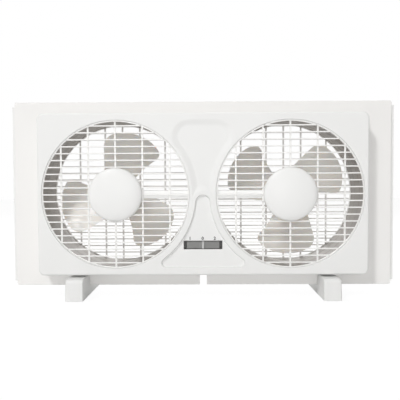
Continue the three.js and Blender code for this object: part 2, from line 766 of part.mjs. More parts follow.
function blade(turn) {
  const [rows, columns] = [4, 6];
  const points = [];
  for (const offset of [-bladeThickness / 2, bladeThickness / 2]) {
    for (let i = 0; i <= rows; i += 1) {
      for (let j = 0; j <= columns; j += 1) {
        const [x, y, z] = bladePoint(i / rows, j / columns);
        points.push(x, y + offset, z);
      }
    }
  }
  const at = (layer, i, j) => layer * (rows + 1) * (columns + 1) + i * (columns + 1) + j;
  const faces = [];
  const quad = (a, b, c, d) => faces.push(a, b, c, a, c, d);
  for (let i = 0; i < rows; i += 1) {
    for (let j = 0; j < columns; j += 1) {
      quad(at(0, i, j), at(0, i + 1, j), at(0, i + 1, j + 1), at(0, i, j + 1));
      quad(at(1, i, j), at(1, i, j + 1), at(1, i + 1, j + 1), at(1, i + 1, j));
    }
    quad(at(0, i, 0), at(1, i, 0), at(1, i + 1, 0), at(0, i + 1, 0));
    quad(at(0, i, columns), at(0, i + 1, columns), at(1, i + 1, columns), at(1, i, columns));
  }
  for (let j = 0; j < columns; j += 1) {
    quad(at(0, 0, j), at(0, 0, j + 1), at(1, 0, j + 1), at(1, 0, j));
    quad(at(0, rows, j), at(1, rows, j), at(1, rows, j + 1), at(0, rows, j + 1));
  }
  const geometry = new THREE.BufferGeometry();
  geometry.setAttribute('position', new THREE.BufferAttribute(new Float32Array(points), 3));
  geometry.setIndex(faces);
  return solid(geometry.rotateY(-turn));
}

function fanBlade() {
  const inner = hubRadius - hubWall;
  const bore = shaftRadius + clearance;
  const bossFront = hubFront + hubDepth / 4;
  const hub = turned([
    [bore, bossFront], [hubBossRadius, bossFront], [hubBossRadius, hubBack - hubWall],
    [inner, hubBack - hubWall], [inner, hubFront], [hubRadius, hubFront],
    [hubRadius, hubBack - hubChamfer], [hubRadius - hubChamfer, hubBack], [bore, hubBack],
    [bore, bossFront],
  ], 2 * smallSteps);
  const blades = Array.from({ length: bladeCount }, (_, i) => blade((i * 2 * Math.PI) / bladeCount));
  return join(hub, ...blades);
}

// ---------------------------------------------------------------- wiring
// A shallow channel from the motor to the duct's wall, closed in front and open behind.
function wireChannel(towards) {
  const { x0, x1, half, front, back } = channelRoom(towards, 0);
  const outer = block(x0, x1, front, back, -half, half);
  const inner = block(
    x0 - cut, x1 + cut, front + channelWall, back + cut, channelWall - half, half - channelWall,
  );
  return carve(outer, inner);
}

// The motor's lead: from the winding, along the channel, and down between the ducts to the switch.
function motorLead(towards) {
  const inChannel = discBack + clearance + channelWall + leadRadius + 2 * clearance;
  const coilFront = statorFront - clearance - coilThickness;
  const start = coilFront - clearance;
  const drop = axisX - leadOffset;
  const switchMiddle = switchFront + switchDepth / 2;
  const switchTop = switchHalfHeight + clearance - slotBelowAxis;
  const route = [
    [leadFromCoil, start, -coilLegTop],
    [leadFromCoil, start - leadStraight, -coilLegTop],
    [leadFromCoil, start - 2 * leadStraight, -coilLegTop],
    [leadFromCoil + 0.75 * leadBend, inChannel, leadStraight - coilLegTop],
    [leadFromCoil + 3 * leadBend, inChannel, leadBend - coilLegTop],
    [channelStart - 2 * leadBend, inChannel, -2.5 * leadBend],
    [channelStart - 0.75 * leadBend, inChannel, -leadBend / 2],
    [channelStart + leadBend, inChannel, 0],
    [ductRadius - 2.5 * leadBend, inChannel, 0],
    [ductRadius + ductWall + channelOvershoot, inChannel, 0],
    [drop - leadBend, inChannel + leadBend / 2, -0.75 * leadBend],
    [drop, inChannel + 1.25 * leadBend, -4 * leadBend],
    [drop, switchMiddle, switchTop + 8.5 * leadBend],
    [drop, switchMiddle, switchTop],
  ];
  const path = new THREE.CatmullRomCurve3(
    route.map(([x, y, z]) => new THREE.Vector3(x * towards, y, z)), false, 'centripetal',
  );
  const section = new THREE.Shape(Array.from({ length: leadSides }, (_, i) => {
    const turn = (i / leadSides) * 2 * Math.PI;
    return new THREE.Vector2(leadRadius * Math.cos(turn), leadRadius * Math.sin(turn));
  }));
  return solid(new THREE.ExtrudeGeometry(section, { steps: leadSteps, extrudePath: path }));
}

// ---------------------------------------------------------------- switch
function switchBody() {
  const z = -slotBelowAxis;
  const box = block(
    -switchHalfWidth, switchHalfWidth, switchFront, switchFront + switchDepth,
    z - switchHalfHeight, z + switchHalfHeight,
  );
  const ears = block(
    -switchHalfWidth, switchHalfWidth, switchFront, switchFront + earThickness,
    z - earHalfHeight, z + earHalfHeight,
  );
  const stemRoom = knobTravel + knobStemWidth / 2 + clearance;
  const groove = block(
    -stemRoom, stemRoom, switchFront - cut, switchFront + knobStemLength + clearance,
    z - knobStemWidth / 2 - clearance, z + knobStemWidth / 2 + clearance,
  );
  const holes = [-pinX, pinX].flatMap((x) => [-pinZ, pinZ].map((dz) =>
    drum(pinRadius + clearance, switchFront - cut, switchFront + earThickness + cut, x, z + dz, tinySteps)));
  return carve(join(box, ears), groove, ...holes);
}

function speedKnob() {
  const z = -slotBelowAxis;
  const half = slotHeight / 2 - knobPlateMargin;
  const [w, r, s] = [knobPlateWidth / 2, knobRidgeWidth / 2, knobStemWidth / 2];
  const sheet = block(-w, w, knobPlateFront, knobPlateBack, z - half, z + half);
  const ridge = block(-r, r, controlRecessDepth - knobRidgeProud, knobPlateFront + root, z - half, z + half);
  const stem = block(-s, s, knobPlateBack - root, switchFront + knobStemLength, z - s, z + s);
  return join(sheet, ridge, stem);
}

// ---------------------------------------------------------------- feet
// A side outline of [depth, height] made into a bar along X, with its long edges rounded.
function sideBar(outline, width, edge) {
  const options = { bevelThickness: edge, bevelSize: edge, bevelOffset: -edge, bevelSegments: 2 };
  const bar = new THREE.ExtrudeGeometry(outline, { depth: width - 2 * edge, curveSegments: 2, ...options });
  bar.translate(0, 0, edge - width / 2);
  const turn = new THREE.Matrix4().makeBasis(
    new THREE.Vector3(0, 1, 0), new THREE.Vector3(0, 0, 1), new THREE.Vector3(1, 0, 0),
  );
  return solid(bar.applyMatrix4(turn));
}

function footOutline() {
  const [front, back] = [-footReach, footLength - footReach];
  const [top, tail] = [footTop, footTailTop];
  const below = floorZ - footEdge - cut;
  const outline = new THREE.Shape();
  outline.moveTo(front, below);
  outline.lineTo(back, below);
  outline.lineTo(back, tail - footCorner);
  outline.absarc(back - footCorner, tail - footCorner, footCorner, 0, Math.PI / 2, false);
  outline.lineTo(back - footTailLength, top);
  outline.absarc(front + footCorner, top - footCorner, footCorner, Math.PI / 2, Math.PI, false);
  return outline;
}

function footPadPlaces() {
  const inset = (footEndBlock - padLength) / 2;
  const back = footLength - footReach;
  return { front: inset - footReach, rear: back - inset - padLength };
}

function foot(side) {
  const bottom = floorZ + padProud;
  const half = footWidth / 2;
  const [front, back] = [-footReach, footLength - footReach];
  const bar = sideBar(footOutline(), footWidth, footEdge);
  const below = block(-half - cut, half + cut, front - cut, back + cut, floorZ - 4 * footEdge, bottom);
  const slot = block(
    -half - cut, half + cut, frameFront - clearance, frameBack + clearance,
    frameBottom + footNotchHeight - clearance, footTop + cut,
  );
  const hollow = (y0, y1, top) =>
    block(footWall - half, half - footWall, y0, y1, floorZ - cut, top - footWall);
  const hollows = [
    hollow(front + footEndBlock, frameFront - footGripBlock, footTop),
    hollow(frameBack + footGripBlock, back - footTailLength, footTop),
    hollow(back - footTailLength, back - footEndBlock, footTailTop),
  ];
  const pockets = Object.values(footPadPlaces()).map((y) => block(
    padMargin - half - clearance, half - padMargin + clearance, y - clearance, y + padLength + clearance,
    floorZ - cut, floorZ + padThickness + clearance,
  ));
  const tabX = side * (half - footTabWidth - footEdge / 2);
  const tab = block(
    tabX - footTabWidth / 2, tabX + footTabWidth / 2,
    frameFront - clearance - footTabDepth, frameFront - clearance,
    footTop - root, footTop + footTabHeight,
  );
  return join(carve(bar, below, slot, ...hollows, ...pockets), tab);
}

function footPad(y) {
  const half = footWidth / 2 - padMargin;
  return block(-half, half, y, y + padLength, floorZ, floorZ + padThickness);
}

// ---------------------------------------------------------------- assembly
function shared(name, geometry, look) {
  const mesh = new THREE.Mesh(geometry, finishes[look]());
  mesh.name = name;
  return mesh;
}

const grilleGeometry = frontGrille();
const guardGeometry = rearGuard();
const bladeGeometry = geometryOf(fanBlade());

// One fan, with its motor, cap, grille and guard, about its own axis.
function fanUnit(side, x, towards, bladeTurn) {
  const unit = new THREE.Group();
  unit.position.set(x, 0, 0);
  unit.add(
    shared(`${side}_front_grille`, grilleGeometry, 'casing'),
    shared(`${side}_rear_guard`, guardGeometry, 'casing'),
    part(`${side}_hub_cap`, hubCap(), 'casing'),
    part(`${side}_duct`, duct(towards), 'casing'),
    part(`${side}_wire_channel`, wireChannel(towards), 'casing'),
    part(`${side}_motor_lead`, motorLead(towards), 'lead'),
    part(`${side}_motor_front_bracket`, bracket(frontBracketFace, frontBracketBack, 1), 'zinc'),
    part(`${side}_motor_rear_bracket`, bracket(rearBracketFront, rearBracketBack, -1), 'zinc'),
    part(`${side}_motor_front_bush`, bush(frontBracketBack), 'bronze'),
    part(`${side}_motor_rear_bush`, bush(rearBracketFront - bushLength), 'bronze'),
    part(`${side}_motor_stator`, stator(), 'iron'),
    part(`${side}_motor_coil`, coil(), 'winding'),
  );
  const seat = grilleInset + discRecess - clearance;
  const length = rearBracketBack + screwTail - seat;
  for (const [end, offset] of [['left', -motorScrewOffset], ['right', motorScrewOffset]]) {
    const body = screw({ radius: motorScrewRadius, seat, length, forwards: false });
    const mesh = part(`${side}_motor_screw_${end}`, body, 'steel');
    mesh.position.x = offset;
    unit.add(mesh);
  }
  const blades = shared(`${side}_fan_blade`, bladeGeometry, 'blade');
  blades.rotation.y = -bladeTurn * degrees;
  unit.add(
    blades,
    part(`${side}_motor_rotor`, rotor(), 'iron'),
    part(`${side}_motor_shaft`, motorShaft(), 'steel'),
    part(`${side}_blade_nut`, bladeNut(), 'steel'),
  );
  return unit;
}

function footUnit(side, x, outwards) {
  const unit = new THREE.Group();
  unit.position.set(x, 0, 0);
  unit.add(part(`${side}_foot`, foot(outwards), 'casing'));
  for (const [end, y] of Object.entries(footPadPlaces())) {
    unit.add(part(`${side}_foot_pad_${end}`, footPad(y), 'rubber'));
  }
  return unit;
}

const group = new THREE.Group();
group.position.set(0, footReach - footLength / 2, axisHeight);
group.add(
  part('front_fascia', frontFascia(), 'casing'),
  part('window_frame', windowFrame(), 'casing'),
  part('rear_cover', rearCover(), 'casing'),
  part('cord_gland', cordGland(), 'dark'),
  part('switch_body', switchBody(), 'dark'),
  part('speed_knob', speedKnob(), 'switch'),
  part('left_extension_panel', extensionPanel(-1), 'casing'),
  part('right_extension_panel', extensionPanel(1), 'casing'),
  fanUnit('left', -axisX, 1, leftBladeTurn),
  fanUnit('right', axisX, -1, rightBladeTurn),
  footUnit('left', -footSpacing / 2, -1),
  footUnit('right', footSpacing / 2, 1),
);

const caseScrewSeatDepth = frameBack + clearance + caseScrewSeat + clearance;
for (const [place, [x, z]] of Object.entries(caseScrewPlaces)) {
  const length = caseScrewSeatDepth - frameFront + caseScrewBite;
  const body = screw({ radius: caseScrewRadius, seat: caseScrewSeatDepth, length, forwards: true });
  const mesh = part(`case_screw_${place}`, body, 'steel');
  mesh.position.set(x, 0, z);
  group.add(mesh);
}

export default group;
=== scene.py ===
import math

import bmesh
import bpy
from mathutils import Matrix, Vector
from mathutils.geometry import tessellate_polygon


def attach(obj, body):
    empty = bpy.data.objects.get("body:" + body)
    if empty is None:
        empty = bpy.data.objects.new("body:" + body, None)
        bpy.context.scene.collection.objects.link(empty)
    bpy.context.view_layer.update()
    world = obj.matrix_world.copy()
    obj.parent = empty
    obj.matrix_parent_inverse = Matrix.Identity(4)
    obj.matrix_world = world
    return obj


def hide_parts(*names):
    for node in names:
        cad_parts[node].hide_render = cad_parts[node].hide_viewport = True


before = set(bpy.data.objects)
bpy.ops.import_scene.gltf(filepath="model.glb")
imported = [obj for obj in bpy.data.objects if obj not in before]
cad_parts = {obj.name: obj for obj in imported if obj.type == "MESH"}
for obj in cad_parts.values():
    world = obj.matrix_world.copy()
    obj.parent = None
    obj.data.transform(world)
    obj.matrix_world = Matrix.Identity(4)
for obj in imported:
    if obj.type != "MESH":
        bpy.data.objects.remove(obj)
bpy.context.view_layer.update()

# ---------- sizes
# Millimetres. Places are (x, depth behind the fascia's face, height above the fan axes), and `at`
# turns them into the frame's metres.
DEPTH_ORIGIN = 65.0
AXIS_HEIGHT = 169.5
AXIS_X = 140.5
GAP = 0.3  # round the ducts and the feet, where they pass the frame

OPENING_RADIUS = 119.0
FASCIA_WIDTH, FASCIA_HEIGHT, FASCIA_CORNER = 532.0, 261.0, 10.0
FASCIA_RIM = 35.7
FASCIA_WALL = 2.6
FASCIA_EDGE = 3.3
OPENING_EDGE = 1.3
CONTROL_RIM, CONTROL_DEPTH, CONTROL_SLOPE = 10.2, 4.0, (0.5, 2.4)  # slope: outwards, inwards
CONTROL_TOP, CONTROL_BOTTOM, CONTROL_CORNER = -0.8, 118.2, 8.0
ARCH_BAND = 6.5
UPPER_RIM, UPPER_DEPTH, UPPER_SLOPE = 5.8, 2.4, (3.3, 9.5)
UPPER_TOP, UPPER_CORNER = 118.5, 26.0
ARCH_SLOPE = 0.8  # the upper recess is steeper over the arch and where it ends beside it
SLOT_WIDTH, SLOT_HEIGHT, SLOT_BELOW = 62.4, 13.8, 82.0

FRAME_WIDTH, FRAME_HEIGHT = 623.0, 304.0
FRAME_FRONT, FRAME_BACK = 36.0, 39.0
NOTCH_WIDTH, NOTCH_HEIGHT = 11.7, 16.0
FOOT_X, FOOT_WIDTH, FOOT_NOTCH = 204.75, 28.5, 2.0
GLAND_X, GLAND_DEPTH = 25.0, 70.0
DUCT_RADIUS, DUCT_WALL = 118.0, 2.4
DUCT_FRONT, DUCT_BACK = 5.4, 91.8

COVER_WIDTH, COVER_HEIGHT, COVER_CORNER = 530.0, 253.0, 12.0
COVER_EDGE, COVER_WALL = 3.0, 2.4
COVER_FRONT, BODY_DEPTH = 39.3, 97.0
CASE_SCREWS = {f"{column}_{row}": (x, z)
               for column, x in (("left", -250.0), ("centre", 0.0), ("right", 250.0))
               for row, z in (("bottom", -114.5), ("top", 114.5))}
SCREW_HOLE = 2.3
SCREW_WELL_RADIUS, SCREW_WELL_FLOOR = 4.6, 44.3

RING_OUTER, RING_INNER, FLANGE_RADIUS = 118.7, 116.7, 121.5
BAR_REACH = (RING_OUTER + RING_INNER) / 2
BAR_COUNT, BAR_HEIGHT, BAR_DEPTH, RIB_WIDTH, RIB_ROUNDING = 21, 2.1, 2.4, 3.0, 0.4
GRILLE_FACE, GRILLE_STEP, GRILLE_BACK, GRILLE_PITCH = 1.0, 2.9, 5.1, 11.0
GUARD_FACE, GUARD_STEP, GUARD_BACK, GUARD_PITCH = 96.0, 94.3, 92.1, 11.6
PINHOLE = 0.5  # discs are turned round a fine hole on their axis
DISC_RADIUS, REAR_DISC_RADIUS = 41.5, 27.0
CAP_RADIUS, CAP_HEIGHT, CAP_RIM = 43.0, 9.5, 0.7

HUB_RADIUS, HUB_FRONT, HUB_BACK, HUB_WALL = 30.0, 48.6, 72.6, 2.5
BLADE_TIP, BLADE_THICKNESS = 104.5, 1.6
FAN_TURN = {"left": 75.0, "right": 30.0}  # degrees
SIDES = {"left": (-1, 1), "right": (1, -1)}  # side of the middle, and the way to it


def at(x, depth, height):
    return Vector((x, depth - DEPTH_ORIGIN, height + AXIS_HEIGHT)) / 1000


def placed(name, data):
    """A new object in the scene."""
    thing = bpy.data.objects.new(name, data)
    bpy.context.scene.collection.objects.link(thing)
    return thing


def worked_out(thing):
    """The mesh that an object's modifiers make of it."""
    return bpy.data.meshes.new_from_object(
        thing.evaluated_get(bpy.context.evaluated_depsgraph_get()))


# ---------- camera
def place_camera():
    """The camera that was fitted to the photograph. Turns in radians, place in metres."""
    yaw, tilt, roll = 0.0100, 0.0418, 0.0050
    place, lens, sensor_width = (0.00505, -1.0252, 0.2005), 54, 36
    forward = Vector((-math.sin(yaw) * math.cos(tilt), math.cos(yaw) * math.cos(tilt),
                      -math.sin(tilt)))
    right = Vector((math.cos(yaw), math.sin(yaw), 0))
    down = forward.cross(right)
    across = math.cos(roll) * right + math.sin(roll) * down
    up = math.sin(roll) * right - math.cos(roll) * down
    data = bpy.data.cameras.new("camera")
    data.sensor_fit = "HORIZONTAL"
    data.sensor_width, data.lens, data.clip_start = sensor_width, lens, 0.05
    camera = placed("camera", data)
    turn = Matrix((across, up, -forward)).transposed().to_4x4()
    camera.matrix_world = Matrix.Translation(place) @ turn
    bpy.context.scene.camera = camera


place_camera()


# ---------- shared surface effects
def node(tree, kind, inputs=None, **settings):
    made = tree.nodes.new(kind)
    for name, value in settings.items():
        setattr(made, name, value)
    for name, value in (inputs or {}).items():
        socket = made.inputs[name]
        if isinstance(value, bpy.types.NodeSocket):
            tree.links.new(value, socket)
        else:
            socket.default_value = value
    return made


def sum_of(tree, operation, a, b):
    return node(tree, "ShaderNodeMath", {0: a, 1: b}, operation=operation).outputs[0]


def effect(name, sockets, outputs):
    """A shader group, with the nodes that hold what it is given and what it gives."""
    group = bpy.data.node_groups.new(name, "ShaderNodeTree")
    for label, kind, value in sockets:
        group.interface.new_socket(label, in_out="INPUT", socket_type=kind).default_value = value
    for label, kind in outputs:
        group.interface.new_socket(label, in_out="OUTPUT", socket_type=kind)
    return group, group.nodes.new("NodeGroupInput"), group.nodes.new("NodeGroupOutput")


def moulded_surface():
    """Fine grain, slow colour drift and uneven gloss of a moulded plastic."""
    group, given, result = effect(
        "moulded surface",
        [("Colour", "NodeSocketColor", (0.8, 0.8, 0.8, 1)), ("Drift", "NodeSocketFloat", 0.02),
         ("Roughness", "NodeSocketFloat", 0.35), ("Grain", "NodeSocketFloat", 900.0)],
        [("Colour", "NodeSocketColor"), ("Roughness", "NodeSocketFloat"),
         ("Height", "NodeSocketFloat")],
    )
    place = node(group, "ShaderNodeTexCoord").outputs["Object"]
    slow, smudge, grain = [
        node(group, "ShaderNodeTexNoise", {"Vector": place, "Scale": scale, "Detail": detail})
        for scale, detail in ((9.0, 3.0), (38.0, 4.0), (given.outputs["Grain"], 2.0))]
    centred = sum_of(group, "SUBTRACT", slow.outputs["Fac"], 0.5)
    swing = sum_of(group, "MULTIPLY", centred, given.outputs["Drift"])
    tinted = node(group, "ShaderNodeVectorMath",
                  {0: given.outputs["Colour"], "Scale": sum_of(group, "ADD", swing, 1.0)},
                  operation="SCALE")
    gloss = node(group, "ShaderNodeMapRange",
                 {"Value": smudge.outputs["Fac"], "To Min": -0.05, "To Max": 0.05})
    rough = sum_of(group, "ADD", given.outputs["Roughness"], gloss.outputs["Result"])
    group.links.new(tinted.outputs[0], result.inputs["Colour"])
    group.links.new(rough, result.inputs["Roughness"])
    group.links.new(grain.outputs["Fac"], result.inputs["Height"])
    return group


def layered_lines():
    """Fine parallel lines across one axis: stacked sheets, or the turns of a winding."""
    group, given, result = effect(
        "layered lines",
        [("Scale", "NodeSocketFloat", 300.0), ("Turn", "NodeSocketVector", (0, 0, 0)),
         ("Dark", "NodeSocketColor", (0.2, 0.2, 0.2, 1)),
         ("Pale", "NodeSocketColor", (0.5, 0.5, 0.5, 1))],
        [("Colour", "NodeSocketColor"), ("Height", "NodeSocketFloat")],
    )
    take = given.outputs
    place = node(group, "ShaderNodeTexCoord").outputs["Object"]
    turned_place = node(group, "ShaderNodeVectorRotate",
                        {"Vector": place, "Rotation": take["Turn"]}, rotation_type="EULER_XYZ")
    wave = node(group, "ShaderNodeTexWave", {"Vector": turned_place.outputs[0],
                "Scale": take["Scale"], "Distortion": 0.3}, bands_direction="Y")
    mix = node(group, "ShaderNodeMix", {0: wave.outputs["Fac"], 6: take["Dark"], 7: take["Pale"]},
               data_type="RGBA")
    group.links.new(mix.outputs[2], result.inputs["Colour"])
    group.links.new(wave.outputs["Fac"], result.inputs["Height"])
    return group


MOULDED = moulded_surface()
LINES = layered_lines()


COAT_ROUGHNESS = 0.12
RELIEF_DEPTH = 0.0002  # metres
LIGHT_REACH = (0.004, 0.0035, 0.003)  # metres into the plastic: red, green, blue


def finish(name, group, values, roughness, metallic=0.0, coat=0.0, bump=0.06, subsurface=0.0):
    """A material that takes its colour, gloss and relief from a shared effect."""
    material = bpy.data.materials.new(name)
    material.use_nodes = True
    tree = material.node_tree
    shader = tree.nodes["Principled BSDF"]
    settings = {"Roughness": roughness, "Metallic": metallic, "Coat Weight": coat,
                "Coat Roughness": COAT_ROUGHNESS}
    if subsurface:
        settings |= {"Subsurface Weight": subsurface, "Subsurface Radius": LIGHT_REACH}
    for label, value in settings.items():
        shader.inputs[label].default_value = value
    relief = node(tree, "ShaderNodeBump", {"Strength": bump, "Distance": RELIEF_DEPTH})
    tree.links.new(relief.outputs["Normal"], shader.inputs["Normal"])
    surface = node(tree, "ShaderNodeGroup", values, node_tree=group)
    for label, socket in (("Colour", shader.inputs["Base Color"]),
                          ("Roughness", shader.inputs["Roughness"]),
                          ("Height", relief.inputs["Height"])):
        if label in surface.outputs:
            tree.links.new(surface.outputs[label], socket)
    return material


def plastic(name, colour, roughness, drift=0.02, grain=900.0, **options):
    values = {"Colour": (*colour, 1), "Drift": drift, "Roughness": roughness, "Grain": grain}
    return finish(name, MOULDED, values, roughness, **options)


def metal(name, colour, roughness, bump=0.05):
    return plastic(name, colour, roughness, drift=0.12, grain=1400.0, metallic=1.0, bump=bump)


def lined(name, dark, pale, scale, turn, roughness, metallic, bump):
    values = {"Scale": scale, "Turn": turn, "Dark": (*dark, 1), "Pale": (*pale, 1)}
    return finish(name, LINES, values, roughness, metallic, bump=bump)


WHITE = plastic("white casing plastic", (0.81, 0.81, 0.80), 0.52, coat=0.03)
GRILLE_WHITE = plastic("white grille plastic", (0.88, 0.875, 0.86), 0.32, coat=0.15)
CAP_WHITE = plastic("white cap plastic", (0.84, 0.84, 0.83), 0.5, coat=0.06, bump=0.02)
FRAME_WHITE = plastic("white frame plastic", (0.845, 0.835, 0.82), 0.6)
# Painted light: the wire channels are made whiter than the casing plastic to stand for the strong
# light falling on them.
CHANNEL_PAINTED_LIGHT = plastic("channel plastic brightened as painted light", (0.93, 0.93, 0.92), 0.35)
# Painted shade: the white duct plastic is given a dark grey-brown colour to stand for the shade
# inside the ducts.
DUCT_PAINTED_SHADE = plastic("duct plastic darkened as painted shade", (0.34, 0.315, 0.29), 0.5)
BLADE = plastic("blade plastic", (0.95, 0.905, 0.86), 0.4, coat=0.1, bump=0.03, subsurface=0.6)
KNOB = plastic("switch plastic", (0.22, 0.22, 0.215), 0.45)
KNOB_RIDGE = plastic("switch ridge plastic", (0.46, 0.46, 0.455), 0.4)
MARKING = plastic("grey marking", (0.03, 0.03, 0.032), 0.5)
DARK = plastic("dark plastic", (0.045, 0.045, 0.05), 0.5, bump=0.12)
LEAD = plastic("lead insulation", (0.78, 0.77, 0.73), 0.5)
RUBBER = plastic("pad rubber", (0.28, 0.28, 0.275), 0.8, bump=0.3, grain=1600.0)
ZINC = metal("die-cast zinc", (0.60, 0.61, 0.62), 0.5, bump=0.2)
STEEL = metal("plated steel", (0.70, 0.71, 0.72), 0.3)
BRONZE = metal("bush bronze", (0.62, 0.42, 0.20), 0.42)
IRON = lined("laminated iron", (0.22, 0.22, 0.23), (0.52, 0.53, 0.54), scale=320.0,
             turn=(0, 0, 0), roughness=0.45, metallic=0.9, bump=0.5)
WINDING = lined("copper winding", (0.20, 0.06, 0.02), (0.58, 0.22, 0.08), scale=420.0,
                turn=(0, 0, math.pi / 2), roughness=0.35, metallic=0.5, bump=0.6)


# ---------- shaping
def arc(cx, cz, radius, start, end, steps):
    return [(cx + radius * math.cos(start + (end - start) * i / steps),
             cz + radius * math.sin(start + (end - start) * i / steps)) for i in range(steps + 1)]


def circle(cx, cz, radius, steps):
    return arc(cx, cz, radius, 0, 2 * math.pi, steps)[:-1]


def rounded_rectangle(width, height, corner, steps=10, cz=0.0):
    x, z = width / 2 - corner, height / 2 - corner
    quarter = math.pi / 2
    outline = []
    for i, (sx, sz) in enumerate(((1, 1), (-1, 1), (-1, -1), (1, -1))):
        outline += arc(sx * x, cz + sz * z, corner, i * quarter, (i + 1) * quarter, steps)
    return outline


class Moulding:
    """The rings, skins and flat faces of one piece, gathered in millimetres."""

    def __init__(self):
        self.points, self.faces = [], []

    def ring(self, outline, depth):
        start = len(self.points)
        self.points += [(x, depth, z) for x, z in outline]
        return list(range(start, len(self.points)))

    def skin(self, *rings):
        for first, second in zip(rings, rings[1:]):
            count = len(first)
            for i in range(count):
                j = (i + 1) % count
                self.faces.append((first[i], first[j], second[j], second[i]))

    def fill(self, outer, *holes):
        loops = [outer, *holes]
        flat = [i for loop in loops for i in loop]
        paths = [[Vector((self.points[i][0], self.points[i][2], 0)) for i in loop]
                 for loop in loops]
        self.faces += [tuple(flat[k] for k in corners) for corners in tessellate_polygon(paths)]

    def sweep(self, outline_at, profile):
        """Rings of an outline that is drawn at each (inset, depth) of a profile."""
        rings = [self.ring(outline_at(inset), depth) for inset, depth in profile]
        self.skin(*rings)
        return rings[0], rings[-1]

    def turned(self, profile, x, z, steps):
        """A closed profile of (radius, depth) points turned about a line along the depth."""
        rings = [self.ring(circle(x, z, radius, steps), depth) for radius, depth in profile]
        self.skin(*rings, rings[0])

    def part_turned(self, profile, x, turns):
        """As turned, but only through the given turns, with both ends closed."""
        rows = []
        for turn in turns:
            start = len(self.points)
            self.points += [(x + r * math.cos(turn), d, r * math.sin(turn)) for r, d in profile]
            rows.append(range(start, len(self.points)))
        self.skin(*rows)
        self.faces += [tuple(rows[0]), tuple(rows[-1])]

    def knob_like(self, profile, x, z, steps):
        """As turned, but its first and last points lie on the axis."""
        rings = [self.ring(circle(x, z, radius, steps), depth) for radius, depth in profile[1:-1]]
        self.skin(*rings)
        for (_, depth), rim in ((profile[0], rings[0]), (profile[-1], rings[-1])):
            tip = len(self.points)
            self.points.append((x, depth, z))
            self.faces += [(rim[i], rim[(i + 1) % len(rim)], tip) for i in range(len(rim))]

    def block(self, x0, x1, d0, d1, z0, z1, rounding, segments=2):
        """A box with its edges rounded."""
        mesh = bmesh.new()
        bmesh.ops.create_cube(mesh, size=1)
        for v in mesh.verts:
            v.co = Vector((x0 + (v.co.x + 0.5) * (x1 - x0), d0 + (v.co.y + 0.5) * (d1 - d0),
                           z0 + (v.co.z + 0.5) * (z1 - z0)))
        bmesh.ops.bevel(mesh, geom=mesh.edges[:], offset=rounding, segments=segments,
                        affect="EDGES", profile=0.5)
        self.add(mesh)

    def add(self, mesh):
        """Takes over a bmesh that is in the same millimetres."""
        start = len(self.points)
        mesh.verts.index_update()
        self.points += [tuple(v.co) for v in mesh.verts]
        self.faces += [tuple(start + v.index for v in f.verts) for f in mesh.faces]
        mesh.free()

    def piece(self, name, material, body, replaces=(), slot="casing_plastic", **options):
        mesh = bpy.data.meshes.new(name)
        mesh.from_pydata([at(*p) for p in self.points], [], self.faces)
        return settle(name, mesh, material, body, replaces, slot, **options)


SAME_PLACE = 2e-6  # metres, between points that are merged


def settle(name, mesh, material, body, replaces=(), slot="casing_plastic", crease=35.0, even=True,
           bevel=0.0, merge=True):
    """Makes one finished piece of a mesh: outward faces, smooth shading, flat faces kept flat."""
    if merge:
        clean = bmesh.new()
        clean.from_mesh(mesh)
        bmesh.ops.remove_doubles(clean, verts=clean.verts[:], dist=SAME_PLACE)
        if even:
            bmesh.ops.recalc_face_normals(clean, faces=clean.faces[:])
        clean.to_mesh(mesh)
        clean.free()
    if not mesh.materials:
        mesh.materials.append(material)
    mesh.shade_smooth()
    mesh.set_sharp_from_angle(angle=math.radians(crease))
    piece = placed(name, mesh)
    if bevel:
        rounding = piece.modifiers.new("rounding", "BEVEL")
        rounding.width, rounding.segments = bevel / 1000, 3
        rounding.limit_method, rounding.angle_limit = "ANGLE", math.radians(40)
        rounding.use_clamp_overlap = True
        rounding.harden_normals = True
    piece.modifiers.new("shading", "WEIGHTED_NORMAL").keep_sharp = True
    piece.data = worked_out(piece)
    piece.data.name = name
    piece.modifiers.clear()
    if replaces:
        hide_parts(*replaces)
    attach(piece, body)
    return piece


def softened(cad, material, body, slot, bevel=0.4):
    """A copy of a solid with its edges rounded, standing for that solid."""
    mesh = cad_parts[cad].data.copy()
    mesh.transform(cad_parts[cad].matrix_world)
    mesh.materials.clear()
    clean = bmesh.new()
    clean.from_mesh(mesh)
    bmesh.ops.remove_doubles(clean, verts=clean.verts[:], dist=SAME_PLACE)
    bmesh.ops.dissolve_limit(clean, angle_limit=math.radians(2), verts=clean.verts[:],
                             edges=clean.edges[:])
    clean.to_mesh(mesh)
    clean.free()
    return settle(cad + "_soft", mesh, material, body, (cad,), slot, bevel=bevel, merge=False)


def dress(cad, material):
    """Gives a solid that is shown as it is its finish."""
    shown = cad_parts[cad]
    shown.data.materials.clear()
    shown.data.materials.append(material)


def quarter_round(depth, size, steps=6):
    """A convex rounding from a face at `depth` into a wall: (inset, depth) points."""
    turns = [i / steps * math.pi / 2 for i in range(steps + 1)]
    return [(size - size * math.sin(t), depth + size * (1 - math.cos(t))) for t in turns]


def soft_step(low, high, slope):
    """A step from one depth to another, rounded at its top and at its foot."""
    steps, (outwards, inwards) = 12, slope
    return [((outwards + inwards) * i / steps - outwards,
             low + (high - low) * (1 - math.cos(i / steps * math.pi)) / 2)
            for i in range(steps + 1)]


def steep_step(low, high, slope):
    """A step that starts steeply under a small rounded edge and runs out in a wide fillet."""
    steps, rounding, (outwards, inwards) = 14, 0.12, slope
    points = []
    for i in range(steps + 1):
        along = (i / steps) ** 1.5
        fall = (1 - (1 - along) ** 3) * min(1.0, along / rounding)
        points.append(((outwards + inwards) * along - outwards, low + (high - low) * fall))
    return points


# ---------- fascia
def control_arch(inset):
    side, top = OPENING_RADIUS + CONTROL_RIM + inset, CONTROL_TOP - inset
    centre = ((side + top) ** 2 - AXIS_X ** 2) / (2 * (side + top))
    return centre, top - centre


